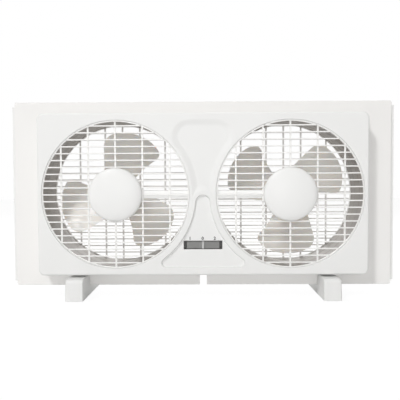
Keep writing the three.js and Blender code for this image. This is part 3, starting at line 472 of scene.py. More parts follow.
def control_recess(inset):
    side, corner = OPENING_RADIUS + CONTROL_RIM + inset, CONTROL_CORNER - inset
    centre, radius = control_arch(inset)
    cz = inset - CONTROL_BOTTOM + corner
    cx = AXIS_X - math.sqrt((side + corner) ** 2 - cz ** 2)
    corner_turn, arch_turn = math.atan2(-cz, AXIS_X - cx), math.atan2(-centre, AXIS_X)
    right = arc(cx, cz, corner, -math.pi / 2, corner_turn, 8)
    right += arc(AXIS_X, 0, side, corner_turn + math.pi, arch_turn + math.pi, 32)[1:]
    arch = arc(0, centre, radius, arch_turn, math.pi - arch_turn, 20)[1:-1]
    return right + arch + [(-x, z) for x, z in reversed(right)]


def upper_recess(inset):
    """Its sides follow the openings, and end where they meet the band over the arch."""
    rim = OPENING_RADIUS + UPPER_RIM
    side, corner = rim + inset, UPPER_CORNER - inset
    cz = UPPER_TOP - inset - corner
    cx = AXIS_X - math.sqrt((side + corner) ** 2 - cz ** 2)
    corner_turn = math.atan2(-cz, AXIS_X - cx)
    low_inset = max(inset, -ARCH_SLOPE)
    centre, radius = control_arch(-ARCH_BAND)
    radius += low_inset
    low, high = math.pi / 2, math.pi + 0.12
    for _ in range(50):  # halves the way to where the side meets the band
        turn = (low + high) / 2
        x, z = AXIS_X + (rim + low_inset) * math.cos(turn), (rim + low_inset) * math.sin(turn)
        low, high = (turn, high) if math.hypot(x, z - centre) > radius else (low, turn)
    right = []
    side_steps, ease_steps = 32, 14
    for i in range(side_steps + 1):
        along = turn + (corner_turn + math.pi - turn) * i / side_steps
        ease = min(1.0, i / ease_steps)
        r = rim + low_inset + (inset - low_inset) * ease * ease * (3 - 2 * ease)
        right.append((AXIS_X + r * math.cos(along), r * math.sin(along)))
    foot_x, foot_z = right[0]
    right += arc(cx, cz, corner, corner_turn, math.pi / 2, 14)[1:]
    left = [(-x, z) for x, z in reversed(right)]
    foot_turn = math.atan2(foot_z - centre, foot_x)
    return right + left + arc(0, centre, radius, math.pi - foot_turn, foot_turn, 20)[1:-1]


def fascia():
    made = Moulding()
    outer = lambda inset: rounded_rectangle(
        FASCIA_WIDTH - 2 * inset, FASCIA_HEIGHT - 2 * inset, FASCIA_CORNER - inset)
    edge = quarter_round(0, FASCIA_EDGE, 8)
    front_rim, last = made.sweep(outer, edge + [(0, FASCIA_RIM - 0.5), (0.3, FASCIA_RIM),
                                 (FASCIA_WALL, FASCIA_RIM), (FASCIA_WALL, FASCIA_WALL + 1)])
    back_rim = made.ring(outer(FASCIA_WALL + 1), FASCIA_WALL)
    made.skin(last, back_rim)
    front_holes, back_holes = [], []
    for x in (-AXIS_X, AXIS_X):
        hole = lambda inset, x=x: circle(x, 0, OPENING_RADIUS + inset, 160)
        near, far = made.sweep(hole, quarter_round(0, OPENING_EDGE) + [(0, FASCIA_WALL)])
        front_holes.append(near)
        back_holes.append(far)
    for outline_at, step, depth, slope in (
            (control_recess, steep_step, CONTROL_DEPTH, CONTROL_SLOPE),
            (upper_recess, soft_step, UPPER_DEPTH, UPPER_SLOPE)):
        near, floor = made.sweep(outline_at, step(0, depth, slope))
        front_holes.append(near)
        behind, backing = made.sweep(lambda inset: outline_at(inset - FASCIA_WALL),
                                     [(0, FASCIA_WALL), (0, FASCIA_WALL + depth)])
        back_holes.append(behind)
        if outline_at is control_recess:
            slot = lambda inset: rounded_rectangle(
                SLOT_WIDTH + 2 * inset, SLOT_HEIGHT + 2 * inset, 1.0 + inset, 6, -SLOT_BELOW)
            mouth, end = made.sweep(
                slot, quarter_round(depth, 0.6, 4) + [(0, FASCIA_WALL + depth)])
            made.fill(floor, mouth)
            made.fill(backing, end)
        else:
            made.fill(floor)
            made.fill(backing)
    made.fill(front_rim, *front_holes)
    made.fill(back_rim, *back_holes)
    boss, hole_end = 4.8, 21
    for x, z in CASE_SCREWS.values():
        floor_depth = 0 if x else CONTROL_DEPTH if z < 0 else UPPER_DEPTH
        start = floor_depth + FASCIA_WALL - 0.5
        made.turned([(SCREW_HOLE, hole_end), (boss, hole_end), (boss, FASCIA_RIM),
                     (SCREW_HOLE, FASCIA_RIM)], x, z, 24)
        made.turned([(PINHOLE, start), (boss, start), (boss, hole_end + 0.2),
                     (PINHOLE, hole_end + 0.2)], x, z, 24)
    made.piece("fascia", WHITE, "housing", ("front_fascia",))


def numbers():
    """The plain figures over the switch."""
    size, thickness, boldness = 0.0068, 0.00006, 0.00022  # metres
    over_slot, sunk = 10.6, 0.07
    for text, x in (("1", -21.0), ("0", -0.6), ("2", 18.8)):
        curve = bpy.data.curves.new("figure_" + text, "FONT")
        curve.body, curve.size, curve.extrude, curve.offset = text, size, thickness, boldness
        curve.align_x = curve.align_y = "CENTER"
        flat = placed("figure_" + text, curve)
        bpy.context.view_layer.update()
        mesh = worked_out(flat)
        bpy.data.objects.remove(flat)
        stand = Matrix.Translation(at(x, CONTROL_DEPTH - sunk, -SLOT_BELOW + over_slot))
        mesh.transform(stand @ Matrix.Rotation(math.pi / 2, 4, "X"))
        mesh.materials.clear()
        settle("figure_" + text, mesh, MARKING, "housing", slot="knob_plastic", even=False)


# ---------- grilles
def bar_field():
    """Parallel bars that fill a circle, each as long as the circle is wide where it lies."""
    tree = bpy.data.node_groups.new("bars in a circle", "GeometryNodeTree")
    for label, kind, value in (
            ("Count", "NodeSocketInt", 21), ("Pitch", "NodeSocketFloat", 0.011),
            ("Circle", "NodeSocketFloat", 0.1177), ("Width", "NodeSocketFloat", 0.0021),
            ("Depth", "NodeSocketFloat", 0.0024), ("Rounding", "NodeSocketFloat", 0.0006),
            ("Material", "NodeSocketMaterial", None)):
        made = tree.interface.new_socket(label, in_out="INPUT", socket_type=kind)
        if value is not None:
            made.default_value = value
    tree.interface.new_socket("Geometry", in_out="OUTPUT", socket_type="NodeSocketGeometry")
    given, result = tree.nodes.new("NodeGroupInput"), tree.nodes.new("NodeGroupOutput")
    take = given.outputs

    section = node(tree, "GeometryNodeCurvePrimitiveQuadrilateral",
                   {"Width": take["Width"], "Height": take["Depth"]})
    eased = node(tree, "GeometryNodeFilletCurve",
                 {"Curve": section.outputs[0], "Count": 3, "Radius": take["Rounding"]}, mode="POLY")
    line = node(tree, "GeometryNodeCurvePrimitiveLine", {"Start": (0, 0, -1), "End": (0, 0, 1)})
    bar = node(tree, "GeometryNodeCurveToMesh",
               {"Curve": line.outputs[0], "Profile Curve": eased.outputs[0], "Fill Caps": True})
    spread = sum_of(tree, "MULTIPLY", sum_of(tree, "SUBTRACT", take["Count"], 1.0), take["Pitch"])
    start = node(tree, "ShaderNodeCombineXYZ", {"X": sum_of(tree, "MULTIPLY", spread, -0.5)})
    step = node(tree, "ShaderNodeCombineXYZ", {"X": take["Pitch"]})
    row = node(tree, "GeometryNodeMeshLine", {"Count": take["Count"],
               "Start Location": start.outputs[0], "Offset": step.outputs[0]})
    where = node(tree, "GeometryNodeInputPosition")
    parts = node(tree, "ShaderNodeSeparateXYZ", {0: where.outputs[0]})
    away = sum_of(tree, "ABSOLUTE", parts.outputs["X"], 0.0)
    reach_squared = sum_of(tree, "SUBTRACT", sum_of(tree, "POWER", take["Circle"], 2.0),
                           sum_of(tree, "POWER", away, 2.0))
    reach = sum_of(tree, "POWER", reach_squared, 0.5)
    stretch = node(tree, "ShaderNodeCombineXYZ", {"X": 1.0, "Y": 1.0, "Z": reach})
    bars = node(tree, "GeometryNodeInstanceOnPoints",
                {"Points": row.outputs[0], "Instance": bar.outputs[0], "Scale": stretch.outputs[0]})
    plain = node(tree, "GeometryNodeRealizeInstances", {0: bars.outputs[0]})
    painted = node(tree, "GeometryNodeSetMaterial",
                   {"Geometry": plain.outputs[0], "Material": take["Material"]})
    tree.links.new(painted.outputs[0], result.inputs[0])
    return tree


BARS = bar_field()


def bars(count, pitch, width, depth, x, middle_depth, level, rounding=0.6):
    """Bars in a bmesh, in millimetres: level ones, or upright ones."""
    holder = placed("bars", bpy.data.meshes.new("bars"))
    repeat = holder.modifiers.new("bars", "NODES")
    repeat.node_group = BARS
    values = {"Count": count, "Pitch": pitch / 1000, "Circle": BAR_REACH / 1000,
              "Width": width / 1000, "Depth": depth / 1000, "Rounding": rounding / 1000,
              "Material": GRILLE_WHITE}
    for item in BARS.interface.items_tree:
        if item.item_type == "SOCKET" and item.in_out == "INPUT":
            repeat[item.identifier] = values[item.name]
    mesh = worked_out(holder)
    bpy.data.objects.remove(holder)
    made = bmesh.new()
    made.from_mesh(mesh)
    # The bars come along Z, side by side along X.
    turn = Matrix.Rotation(math.pi / 2, 4, "Y") if level else Matrix.Identity(4)
    shift = Matrix.Translation((x, middle_depth, 0))
    bmesh.ops.transform(made, matrix=shift @ turn @ Matrix.Scale(1000, 4), verts=made.verts[:])
    return made


def grille_ring(made, x, face, step, back):
    """The ring with its flange: `face` is its visible edge and `back` the flange's inner end."""
    eased, edge = 0.5, face + math.copysign(0.5, back - face)
    made.turned([(RING_INNER + eased, face), (RING_OUTER - eased, face), (RING_OUTER, edge),
                 (RING_OUTER, step), (FLANGE_RADIUS, step), (FLANGE_RADIUS, back),
                 (RING_INNER, back), (RING_INNER, edge)], x, 0, 160)


def middle_disc(made, x, radius, face, back, steps):
    eased = 0.4
    edge = back - math.copysign(eased, back - face)
    made.turned([(PINHOLE, face), (radius, face), (radius, edge), (radius - eased, back),
                 (PINHOLE, back)], x, 0, steps)


def front_grille(side, x):
    made = Moulding()
    rib_count, rib_pitch, rib_face, disc_face = 5, 43.7, 3.4, 2.2
    made.add(bars(BAR_COUNT, GRILLE_PITCH, BAR_HEIGHT, BAR_DEPTH, x,
                  GRILLE_FACE + BAR_DEPTH / 2, True))
    made.add(bars(rib_count, rib_pitch, RIB_WIDTH, GRILLE_BACK - rib_face, x,
                  (rib_face + GRILLE_BACK) / 2, False, RIB_ROUNDING))
    grille_ring(made, x, GRILLE_FACE, GRILLE_STEP, GRILLE_BACK)
    middle_disc(made, x, DISC_RADIUS, disc_face, GRILLE_BACK, 96)
    made.piece(side + "_grille", GRILLE_WHITE, "housing", (side + "_front_grille",))


def rear_guard(side, x):
    made = Moulding()
    rib_depth, rib_middle, disc_face = 1.4, 92.8, 94.8
    made.add(bars(BAR_COUNT, GUARD_PITCH, BAR_HEIGHT, BAR_DEPTH, x,
                  GUARD_FACE - BAR_DEPTH / 2, True))
    for count, pitch in ((1, 1.0), (2, 60.6), (2, 148.6)):  # one rib and two pairs of ribs
        made.add(bars(count, pitch, RIB_WIDTH, rib_depth, x, rib_middle, False, RIB_ROUNDING))
    grille_ring(made, x, GUARD_FACE, GUARD_STEP, GUARD_BACK)
    middle_disc(made, x, REAR_DISC_RADIUS, disc_face, GUARD_BACK, 72)
    made.piece(side + "_guard", GRILLE_WHITE, "housing", (side + "_rear_guard",))


def hub_cap(side, x):
    """A dome that is hollow behind, with a skirt that seats on the grille's disc."""
    made = Moulding()
    steps, inner_steps, fullness, inner_height = 28, 10, 0.75, 7.5
    skirt, skirt_end, bore, bore_end = 41.2, 1.9, 39.2, 0.2
    quarter = math.pi / 2
    dome = [(CAP_RADIUS * math.sin(i / steps * quarter),
             CAP_RIM - CAP_HEIGHT * math.cos(i / steps * quarter) ** fullness)
            for i in range(steps)]
    rim = [(CAP_RADIUS, CAP_RIM - 0.3), (CAP_RADIUS - 0.3, CAP_RIM), (skirt, CAP_RIM),
           (skirt, skirt_end), (bore, skirt_end), (bore, bore_end)]
    inner = [(bore * math.sin(i / inner_steps * quarter),
              CAP_RIM - inner_height * math.cos(i / inner_steps * quarter) ** fullness)
             for i in range(inner_steps - 1, -1, -1)]
    made.knob_like(dome + rim + inner, x, 0, 120)
    made.piece(side + "_cap", CAP_WHITE, "housing", (side + "_hub_cap",), crease=50)


# ---------- fans
def blade_point(out, across):
    """A place on the blade's middle surface: out from hub to rim, across from its hooked edge
    to its straight one."""
    hook_cut, straight_cut = 0.122, 0.085  # how far the rim draws in at each corner
    hook_angle, hook_sweep, straight_angle, straight_aside = 28, 6, 15, 24.7
    root_depth, added_depth, bow = 21, 17, 0.06
    start = HUB_RADIUS - HUB_WALL / 2
    rim = BLADE_TIP * (1 - hook_cut * (1 - across) ** 4 - straight_cut * across ** 5)
    radius = start + out * (rim - start)
    hooked = -math.radians(hook_angle + hook_sweep * out ** 3)
    straight = math.radians(straight_angle) + math.asin(min(1, straight_aside / radius))
    turn = hooked + across * (straight - hooked)
    depth = root_depth + out * added_depth
    bowed = bow * depth * math.sin(across * math.pi)
    return radius, turn, (HUB_FRONT + HUB_BACK) / 2 - depth * (across - 0.5) + bowed


def rounded_corner(out, across):
    """Moves a place near an outer corner of the blade so that the corner becomes a curve."""
    u, v = 1 - out, min(across, 1 - across)
    reach_u, reach_v = 0.19, 0.125
    if u >= reach_u or v >= reach_v:
        return out, across
    s, t = 1 - u / reach_u, 1 - v / reach_v
    s, t = s * math.sqrt(1 - t * t / 2), t * math.sqrt(1 - s * s / 2)
    v = reach_v * (1 - t)
    return 1 - reach_u * (1 - s), v if across < 0.5 else 1 - v


def fan(side, x):
    made = Moulding()
    rows, columns = 36, 40
    for blade in range(3):
        spin = math.radians(FAN_TURN[side] + 120 * blade)
        grid = {}
        for layer in (0, 1):
            for i in range(rows + 1):
                for j in range(columns + 1):
                    radius, turn, depth = blade_point(*rounded_corner(i / rows, j / columns))
                    to_edge = min(1 - i / rows, j / columns, 1 - j / columns)
                    thinning = min(1.0, 6 * to_edge + 0.45)
                    depth += (layer - 0.5) * BLADE_THICKNESS * thinning
                    grid[layer, i, j] = len(made.points)
                    made.points.append((x + radius * math.cos(turn + spin), depth,
                                        radius * math.sin(turn + spin)))
        for i in range(rows):
            for j in range(columns):
                for layer in (0, 1):
                    made.faces.append(tuple(grid[layer, i + a, j + b]
                                            for a, b in ((0, 0), (1, 0), (1, 1), (0, 1))))
        rim = ((0, 0), (0, 1), (1, 1), (1, 0))  # (layer, step) round a face of the edge
        for i in range(rows):
            for j in (0, columns):
                made.faces.append(tuple(grid[layer, i + step, j] for layer, step in rim))
        for j in range(columns):
            for i in (0, rows):
                made.faces.append(tuple(grid[layer, i, j + step] for layer, step in rim))
    inner, shaft, boss, boss_end = HUB_RADIUS - HUB_WALL, 2.8, 6, 54.6
    made.turned([
        (shaft, boss_end), (boss, boss_end), (boss, HUB_BACK - HUB_WALL),
        (inner, HUB_BACK - HUB_WALL), (inner, HUB_FRONT + 0.4), (inner + 0.4, HUB_FRONT),
        (HUB_RADIUS - 0.4, HUB_FRONT), (HUB_RADIUS, HUB_FRONT + 0.4), (HUB_RADIUS, HUB_BACK - 2.4),
        (HUB_RADIUS - 0.7, HUB_BACK - 0.7), (HUB_RADIUS - 2.4, HUB_BACK), (14, HUB_BACK),
        (13.6, HUB_BACK - 0.5), (12.4, HUB_BACK - 0.5), (12, HUB_BACK), (shaft, HUB_BACK),
    ], x, 0, 96)
    made.piece(side + "_fan_blades", BLADE, side + "_fan", (side + "_fan_blade",), "blade_plastic",
               crease=50)


def screw_head(made, x, z, radius, seat, away, height=2.0):
    """A pan head with a small round recess. `away` is the way it faces along the depth."""
    top = seat + away * height
    recess = top - away * 0.9
    made.knob_like([(0, recess), (radius * 0.16, recess), (radius * 0.2, top - away * 0.05),
                    (radius * 0.62, top), (radius * 0.9, seat + away * height * 0.72),
                    (radius, seat + away * height * 0.3), (radius, seat), (0, seat)], x, z, 24)


def motor(side, x):
    body = side + "_fan"
    for name in ("motor_front_bracket", "motor_rear_bracket"):
        softened(f"{side}_{name}", ZINC, "housing", "bracket_zinc", 0.5)
    softened(side + "_motor_stator", IRON, "housing", "motor_iron", 0.3)
    softened(side + "_motor_coil", WINDING, "housing", "motor_winding", 2.0)
    dress(side + "_motor_front_bush", BRONZE)
    dress(side + "_motor_rear_bush", BRONZE)
    dress(side + "_motor_rotor", IRON)
    shaft = Moulding()
    radius, front, back, eased = 2.5, 8.4, 78.9, 0.3
    shaft.knob_like([(0, front), (radius - eased, front), (radius, front + eased),
                     (radius, back - eased), (radius - eased, back), (0, back)], x, 0, 32)
    shaft.piece(side + "_shaft", STEEL, body, (side + "_motor_shaft",), "screw_steel")
    softened(side + "_blade_nut", STEEL, body, "screw_steel", 0.4)
    crest, root, thread_start, pitch, turns = 1.8, 1.55, 40, 0.8, 9
    for end, offset in (("left", -20.5), ("right", 20.5)):
        made = Moulding()
        screw_head(made, x + offset, 0, 3.5, 1.9, -1, 1.9)
        shank = [(0, 1.8), (crest, 1.8), (crest, thread_start)]
        for i in range(turns):
            along = thread_start + i * pitch
            shank += [(crest, along + 0.4), (root, along + 0.8)]
        made.knob_like(shank + [(1.3, 47.4), (0, 47.4)], x + offset, 0, 20)
        made.piece(f"{side}_through_screw_{end}", STEEL, "housing", (f"{side}_motor_screw_{end}",),
                   "screw_steel", crease=45)


# ---------- housing behind the fascia
def notched_plate(inset):
    """The frame's outline, with notches for the cord and the feet in its lower edge."""
    half_w, half_h = FRAME_WIDTH / 2 - inset, FRAME_HEIGHT / 2 - inset
    notch, top = NOTCH_WIDTH / 2 + inset, -FRAME_HEIGHT / 2 + NOTCH_HEIGHT + inset
    corner, small = 3.0 - inset, 1.2
    half = arc(half_w - corner, half_h - corner, corner, math.pi / 2, 0, 6)
    half += arc(half_w - corner, corner - half_h, corner, 0, -math.pi / 2, 6)
    foot = FOOT_WIDTH / 2 + GAP + inset
    half += [(FOOT_X + foot, -half_h), (FOOT_X + foot, FOOT_NOTCH - half_h),
             (FOOT_X - foot, FOOT_NOTCH - half_h), (FOOT_X - foot, -half_h)]
    half += arc(notch + small, small - half_h, small, -math.pi / 2, -math.pi, 4)
    half += arc(notch - small, top - small, small, 0, math.pi / 2, 4)
    return half + [(-x, z) for x, z in reversed(half)]


def window_frame():
    made = Moulding()
    rim = 0.7
    front = quarter_round(FRAME_FRONT, rim, 4)
    back = [(inset, FRAME_FRONT + FRAME_BACK - depth) for inset, depth in reversed(front)]
    near, far = made.sweep(notched_plate, front + back)
    holes = [(x, 0, DUCT_RADIUS + DUCT_WALL + GAP, 160) for x in (-AXIS_X, AXIS_X)]
    holes += [(x, z, SCREW_HOLE, 20) for x, z in CASE_SCREWS.values()]
    pairs = [[made.ring(circle(*hole), depth) for depth in (FRAME_FRONT, FRAME_BACK)]
             for hole in holes]
    for pair in pairs:
        made.skin(*pair)
    made.fill(near, *[first for first, _ in pairs])
    made.fill(far, *[last for _, last in pairs])
    # Rails behind the plate's ends: a wall each, and a lip that holds the panel.
    rail_start, rail_end, rail_back = 267.5, 308.5, 45.2
    edge, wall, lip = 145.3, 3.0, 6.0
    for side in (-1, 1):
        x0, x1 = sorted((rail_start * side, rail_end * side))
        for up in (-1, 1):
            outer = (edge + wall) * up
            for start, depth in ((edge, FRAME_BACK - 0.5), (edge - lip, rail_back - wall)):
                made.block(x0, x1, depth, rail_back, *sorted((start * up, outer)), 0.5)
    made.piece("frame_plate", FRAME_WHITE, "housing", ("window_frame",))


def ducts():
    outer, eased, step = DUCT_RADIUS + DUCT_WALL, 0.3, 0.35
    # Shallow steps run round the bore, where the mould's cores meet.
    bore = [(DUCT_RADIUS + eased, DUCT_FRONT), (DUCT_RADIUS, DUCT_FRONT + eased)]
    for start, end in ((27, 34), (58, 64)):
        bore += [(DUCT_RADIUS, start), (DUCT_RADIUS + step, start + 0.4),
                 (DUCT_RADIUS + step, end), (DUCT_RADIUS, end + 0.4)]
    bore += [(DUCT_RADIUS, DUCT_BACK - eased), (DUCT_RADIUS + eased, DUCT_BACK)]
    full = bore + [(outer, DUCT_BACK), (outer, DUCT_FRONT)]
    # The wire channel passes through a gap in the duct's front, and the wall is whole behind it.
    channel_back, channel_half = 10.7, 6.8
    behind = [(DUCT_RADIUS, channel_back), (DUCT_RADIUS, DUCT_BACK), (outer, DUCT_BACK),
              (outer, channel_back)]
    gap = math.asin(channel_half / DUCT_RADIUS)
    full_steps, gap_steps = 144, 8
    for side, (sign, towards) in SIDES.items():
        made = Moulding()
        middle = 0.0 if towards > 0 else math.pi
        made.part_turned(full, AXIS_X * sign,
                         [middle + gap + (2 * math.pi - 2 * gap) * i / full_steps
                          for i in range(full_steps + 1)])
        made.part_turned(behind, AXIS_X * sign,
                         [middle - gap + 2 * gap * i / gap_steps for i in range(gap_steps + 1)])
        made.piece(side + "_air_duct", DUCT_PAINTED_SHADE, "housing", (side + "_duct",), crease=30)


def rear_cover():
    made = Moulding()
    inside = BODY_DEPTH - COVER_WALL
    outer = lambda inset: rounded_rectangle(
        COVER_WIDTH - 2 * inset, COVER_HEIGHT - 2 * inset, COVER_CORNER - inset)
    from_behind = lambda profile: [(inset, BODY_DEPTH - depth) for inset, depth in profile]
    edge = from_behind(quarter_round(0, COVER_EDGE, 8))
    back_rim, last = made.sweep(outer, edge + [(0, COVER_FRONT + 0.5), (0.3, COVER_FRONT),
                                (COVER_WALL, COVER_FRONT), (COVER_WALL, inside - 1)])
    inner_rim = made.ring(outer(COVER_WALL + 1), inside)
    made.skin(last, inner_rim)
    holes, inner_holes = [], []
    hole_edge = from_behind(quarter_round(0, 1.2))
    for x in (-AXIS_X, AXIS_X):
        hole = lambda inset, x=x: circle(x, 0, OPENING_RADIUS + inset, 160)
        near, far = made.sweep(hole, hole_edge + [(0, inside)])
        holes.append(near)
        inner_holes.append(far)
    for x, z in CASE_SCREWS.values():
        well = lambda inset, x=x, z=z: circle(x, z, SCREW_WELL_RADIUS + inset, 32)
        mouth, floor = made.sweep(well, [(0.6, BODY_DEPTH), (0.18, BODY_DEPTH - 0.18),
                                         (0, BODY_DEPTH - 0.6), (0, SCREW_WELL_FLOOR)])
        sleeve, base = made.sweep(well, [(COVER_WALL, inside), (COVER_WALL, COVER_FRONT)])
        bore, end = made.sweep(lambda inset, x=x, z=z: circle(x, z, SCREW_HOLE, 32),
                               [(0, SCREW_WELL_FLOOR), (0, COVER_FRONT)])
        made.fill(floor, bore)
        made.fill(base, end)
        holes.append(mouth)
        inner_holes.append(sleeve)
    made.fill(back_rim, *holes)
    made.fill(inner_rim, *inner_holes)
    made.piece("cover", WHITE, "housing", ("rear_cover",))
    for place, (x, z) in CASE_SCREWS.items():
        head = Moulding()
        screw_head(head, x, z, 3.7, SCREW_WELL_FLOOR + 0.3, 1)
        head.knob_like([(0, 21.2), (1.2, 21.2), (2, 23), (2, 44.7), (0, 44.7)], x, z, 20)
        head.piece("case_screw_head_" + place, STEEL, "housing", ("case_screw_" + place,),
                   "screw_steel", crease=45)


def cord_gland():
    """A collar turned about an upright line, with a groove round the cover's lower wall."""
    made = Moulding()
    low, high, lip = -126.8, -123.8, 2
    bore, groove, outer, eased = 3.2, 5, 8, 0.4
    profile = [(bore, low - lip + eased), (bore + eased, low - lip), (outer - eased, low - lip),
               (outer, low - lip + eased), (outer, low), (groove, low), (groove, high),
               (outer, high), (outer, high + lip - eased), (outer - eased, high + lip),
               (bore + eased, high + lip), (bore, high + lip - eased)]
    rings = []
    for radius, z in profile:
        start = len(made.points)
        made.points += [(x, depth, z) for x, depth in circle(GLAND_X, GLAND_DEPTH, radius, 40)]
        rings.append(range(start, len(made.points)))
    made.skin(*rings, rings[0])
    made.piece("gland", DARK, "housing", ("cord_gland",), "dark_plastic", crease=45)


def end_panels():
    for side in SIDES:
        softened(side + "_extension_panel", WHITE, side + "_panel", "casing_plastic", 0.5)


def wiring():
    for side in SIDES:
        softened(side + "_wire_channel", CHANNEL_PAINTED_LIGHT, "housing", "casing_plastic", 0.6)
        dress(side + "_motor_lead", LEAD)


# ---------- switch
def switch():
    z, half, high = -SLOT_BELOW, 26.4, 5.9
    face, back, stem, stem_end = 6.9, 8.9, 3, 12.2
    made = Moulding()
    made.block(-half, half, face, back, z - high, z + high, 0.4)
    first_line, line_pitch, line_half, line_high = 7.0, 2.2, 0.45, 5.4
    for i in range(8):  # grip lines each side of the ridge
        for sign in (-1, 1):
            x = sign * (first_line + i * line_pitch)
            made.block(x - line_half, x + line_half, face - 0.25, face + 0.2, z - line_high,
                       z + line_high, 0.15, 1)
    made.block(-stem, stem, back - 0.5, stem_end, z - stem, z + stem, 0.3)
    made.piece("switch_plate", KNOB, "switch_slider", ("speed_knob",), "knob_plastic")
    ridge = Moulding()
    ridge.block(-2, 2, 3.2, 7.2, z - high, z + high, 0.8, 3)
    ridge.piece("switch_ridge", KNOB_RIDGE, "switch_slider", slot="knob_plastic")
    softened("switch_body", DARK, "housing", "dark_plastic", 0.5)


# ---------- feet
def foot(side, x, outwards):
    """A moulded foot with rounded long edges and a slot that grips the frame's edge."""
    front, back, floor, top, tail = -20.0, 150.0, -168.7, -141.5, -152.5
    front_top = -134.0  # just below the fascia
    slot_front, slot_back, slot_floor = 35.7, 39.3, -150.3
    half, wall, corner = FOOT_WIDTH / 2, 2.6, 6.0
    sharp_edge, soft_edge, round_edge = 0.06, 0.45, 1.0  # shares of the full rounding
    outline = [(front, floor)]
    outline += arc(front + corner, front_top - corner, corner, math.pi, math.pi / 2, 8)
    outline += [(slot_front, front_top), (slot_front, slot_floor), (slot_back, slot_floor),
                (slot_back, top), (70.0, top)]
    outline += arc(back - corner, tail - corner, corner, math.pi / 2, 0, 8)
    outline += [(back, floor)]
    mesh = bmesh.new()
    sides = [[mesh.verts.new(at(x + dx, d, z)) for d, z in outline] for dx in (-half, half)]
    for loop in sides:
        mesh.faces.new(loop)
    weight = mesh.edges.layers.float.new("bevel_weight_edge")
    count = len(outline)
    for i in range(count):
        j = (i + 1) % count
        mesh.faces.new((sides[0][i], sides[0][j], sides[1][j], sides[1][i]))
    in_slot_or_floor = lambda p: slot_front <= p[0] <= slot_back or p[1] == floor
    over_front = lambda p: p[0] <= slot_front and p[1] > front_top - 1.5 * corner
    for loop in sides:
        outer = (loop is sides[1]) == (outwards > 0)
        for i in range(count):
            a, b = outline[i], outline[(i + 1) % count]
            edge = mesh.edges.get((loop[i], loop[(i + 1) % count]))
            if in_slot_or_floor(a) and in_slot_or_floor(b):
                edge[weight] = sharp_edge
            else:
                rounded = outer and over_front(a) and over_front(b)
                edge[weight] = round_edge if rounded else soft_edge
    bmesh.ops.recalc_face_normals(mesh, faces=mesh.faces[:])
    data = bpy.data.meshes.new(side + "_stand")
    mesh.to_mesh(data)
    mesh.free()
    body = placed(side + "_stand", data)
    rounding = body.modifiers.new("rounding", "BEVEL")
    rounding.width, rounding.segments, rounding.limit_method = 0.0064, 8, "WEIGHT"
    below = floor - 1
    hollows = (-2, 27.7, -144.1), (47.3, 70, -144.1), (70, 132, -155)  # open to the floor
    for d0, d1, high in hollows:
        hollow = bmesh.new()
        bmesh.ops.create_cube(hollow, size=1)
        for v in hollow.verts:
            v.co = at(x + v.co.x * 2 * (half - wall), d0 + (v.co.y + 0.5) * (d1 - d0),
                      below + (v.co.z + 0.5) * (high - below))
        tool_mesh = bpy.data.meshes.new("hollow")
        hollow.to_mesh(tool_mesh)
        hollow.free()
        tool = placed("hollow", tool_mesh)
        cut = body.modifiers.new("hollow", "BOOLEAN")
        cut.operation, cut.object, cut.solver = "DIFFERENCE", tool, "EXACT"
        bpy.context.view_layer.update()
        body.data = worked_out(body)
        body.modifiers.clear()
        bpy.data.objects.remove(tool)
    data = body.data
    bpy.data.objects.remove(body)
    settle(side + "_stand", data, WHITE, side + "_stand", (side + "_foot",), "casing_plastic",
           crease=40, even=False)
    tab, tab_x = Moulding(), outwards * (half - 3.5)
    tab.block(x + tab_x - 1, x + tab_x + 1, slot_front - 6, slot_front, front_top - 2,
              front_top + 2.8, 0.4, 3)
    tab.piece(side + "_stand_clip", WHITE, side + "_stand", slot="casing_plastic")


def feet():
    for side, (sign, _) in SIDES.items():
        foot(side, FOOT_X * sign, sign)
        for end in ("front", "rear"):
            softened(f"{side}_foot_pad_{end}", RUBBER, side + "_stand", "pad_rubber", 0.4)


# ---------- floor and light
def soft_lamp(name, size, energy, place, target):
    data = bpy.data.lights.new(name, "AREA")
    data.shape, data.size, data.energy = "DISK", size, energy
    lamp = placed(name, data)
    lamp.location = place
    lamp.rotation_euler = (Vector(target) - Vector(place)).to_track_quat("-Z", "Y").to_euler()


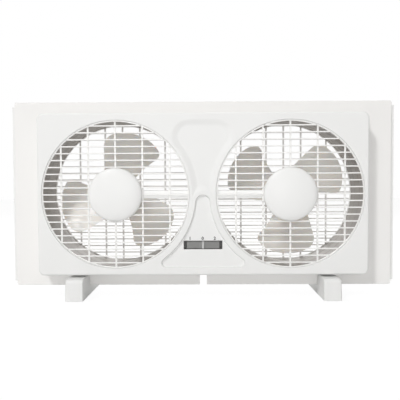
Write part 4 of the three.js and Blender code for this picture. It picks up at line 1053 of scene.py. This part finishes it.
def studio():
    """A pale floor that glows for the camera, a white background and four lamps."""
    half, glow_strength, glow_share, soft_strength = 4.0, 1.04, 0.9, 0.31
    mesh = bpy.data.meshes.new("floor")
    mesh.from_pydata([(-half, -half, 0), (half, -half, 0), (half, half, 0), (-half, half, 0)], [],
                     [(0, 1, 2, 3)])
    floor = placed("floor", mesh)
    material = bpy.data.materials.new("pale floor")
    material.use_nodes = True
    tree = material.node_tree
    shader = tree.nodes["Principled BSDF"]
    shader.inputs["Base Color"].default_value = (0.86, 0.86, 0.86, 1)
    shader.inputs["Roughness"].default_value = 0.9
    glow = node(tree, "ShaderNodeEmission", {"Color": (1, 1, 1, 1), "Strength": glow_strength})
    ray = node(tree, "ShaderNodeLightPath").outputs
    share = sum_of(tree, "MULTIPLY", ray["Is Camera Ray"], glow_share)
    mix = node(tree, "ShaderNodeMixShader", {0: share, 1: shader.outputs[0], 2: glow.outputs[0]})
    tree.links.new(mix.outputs[0], tree.nodes["Material Output"].inputs["Surface"])
    mesh.materials.append(material)

    world = bpy.data.worlds.new("studio")
    bpy.context.scene.world = world
    world.use_nodes = True
    tree = world.node_tree
    ray = node(tree, "ShaderNodeLightPath").outputs
    seen = sum_of(tree, "MAXIMUM", ray["Is Camera Ray"], ray["Is Transmission Ray"])
    seen = sum_of(tree, "MAXIMUM", seen, ray["Is Glossy Ray"])
    soft = tree.nodes["Background"]
    soft.inputs["Color"].default_value = (1, 0.99, 0.975, 1)
    soft.inputs["Strength"].default_value = soft_strength
    white = node(tree, "ShaderNodeBackground", {"Color": (1, 1, 1, 1), "Strength": 1.0})
    mix = node(tree, "ShaderNodeMixShader", {0: seen, 1: soft.outputs[0], 2: white.outputs[0]})
    tree.links.new(mix.outputs[0], tree.nodes["World Output"].inputs["Surface"])

    soft_lamp("key", 0.9, 140, (-2.0, -3.6, 4.1), (0, 0, 0.17))
    soft_lamp("front", 1.2, 22, (-0.1, -3.0, 0.3), (0, 0, 0.17))
    soft_lamp("top", 1.4, 6, (0, 0.5, 1.9), (0, 0, 0.1))
    soft_lamp("back", 1.4, 16.5, (0, 1.5, 1.1), (0, 0, 0.12))
    bpy.context.scene.view_settings.view_transform = "Standard"


# ---------- the product
fascia()
numbers()
for side, (sign, _) in SIDES.items():
    for make in (front_grille, rear_guard, hub_cap, fan, motor):
        make(side, AXIS_X * sign)
window_frame()
ducts()
rear_cover()
cord_gland()
end_panels()
wiring()
switch()
feet()
studio()
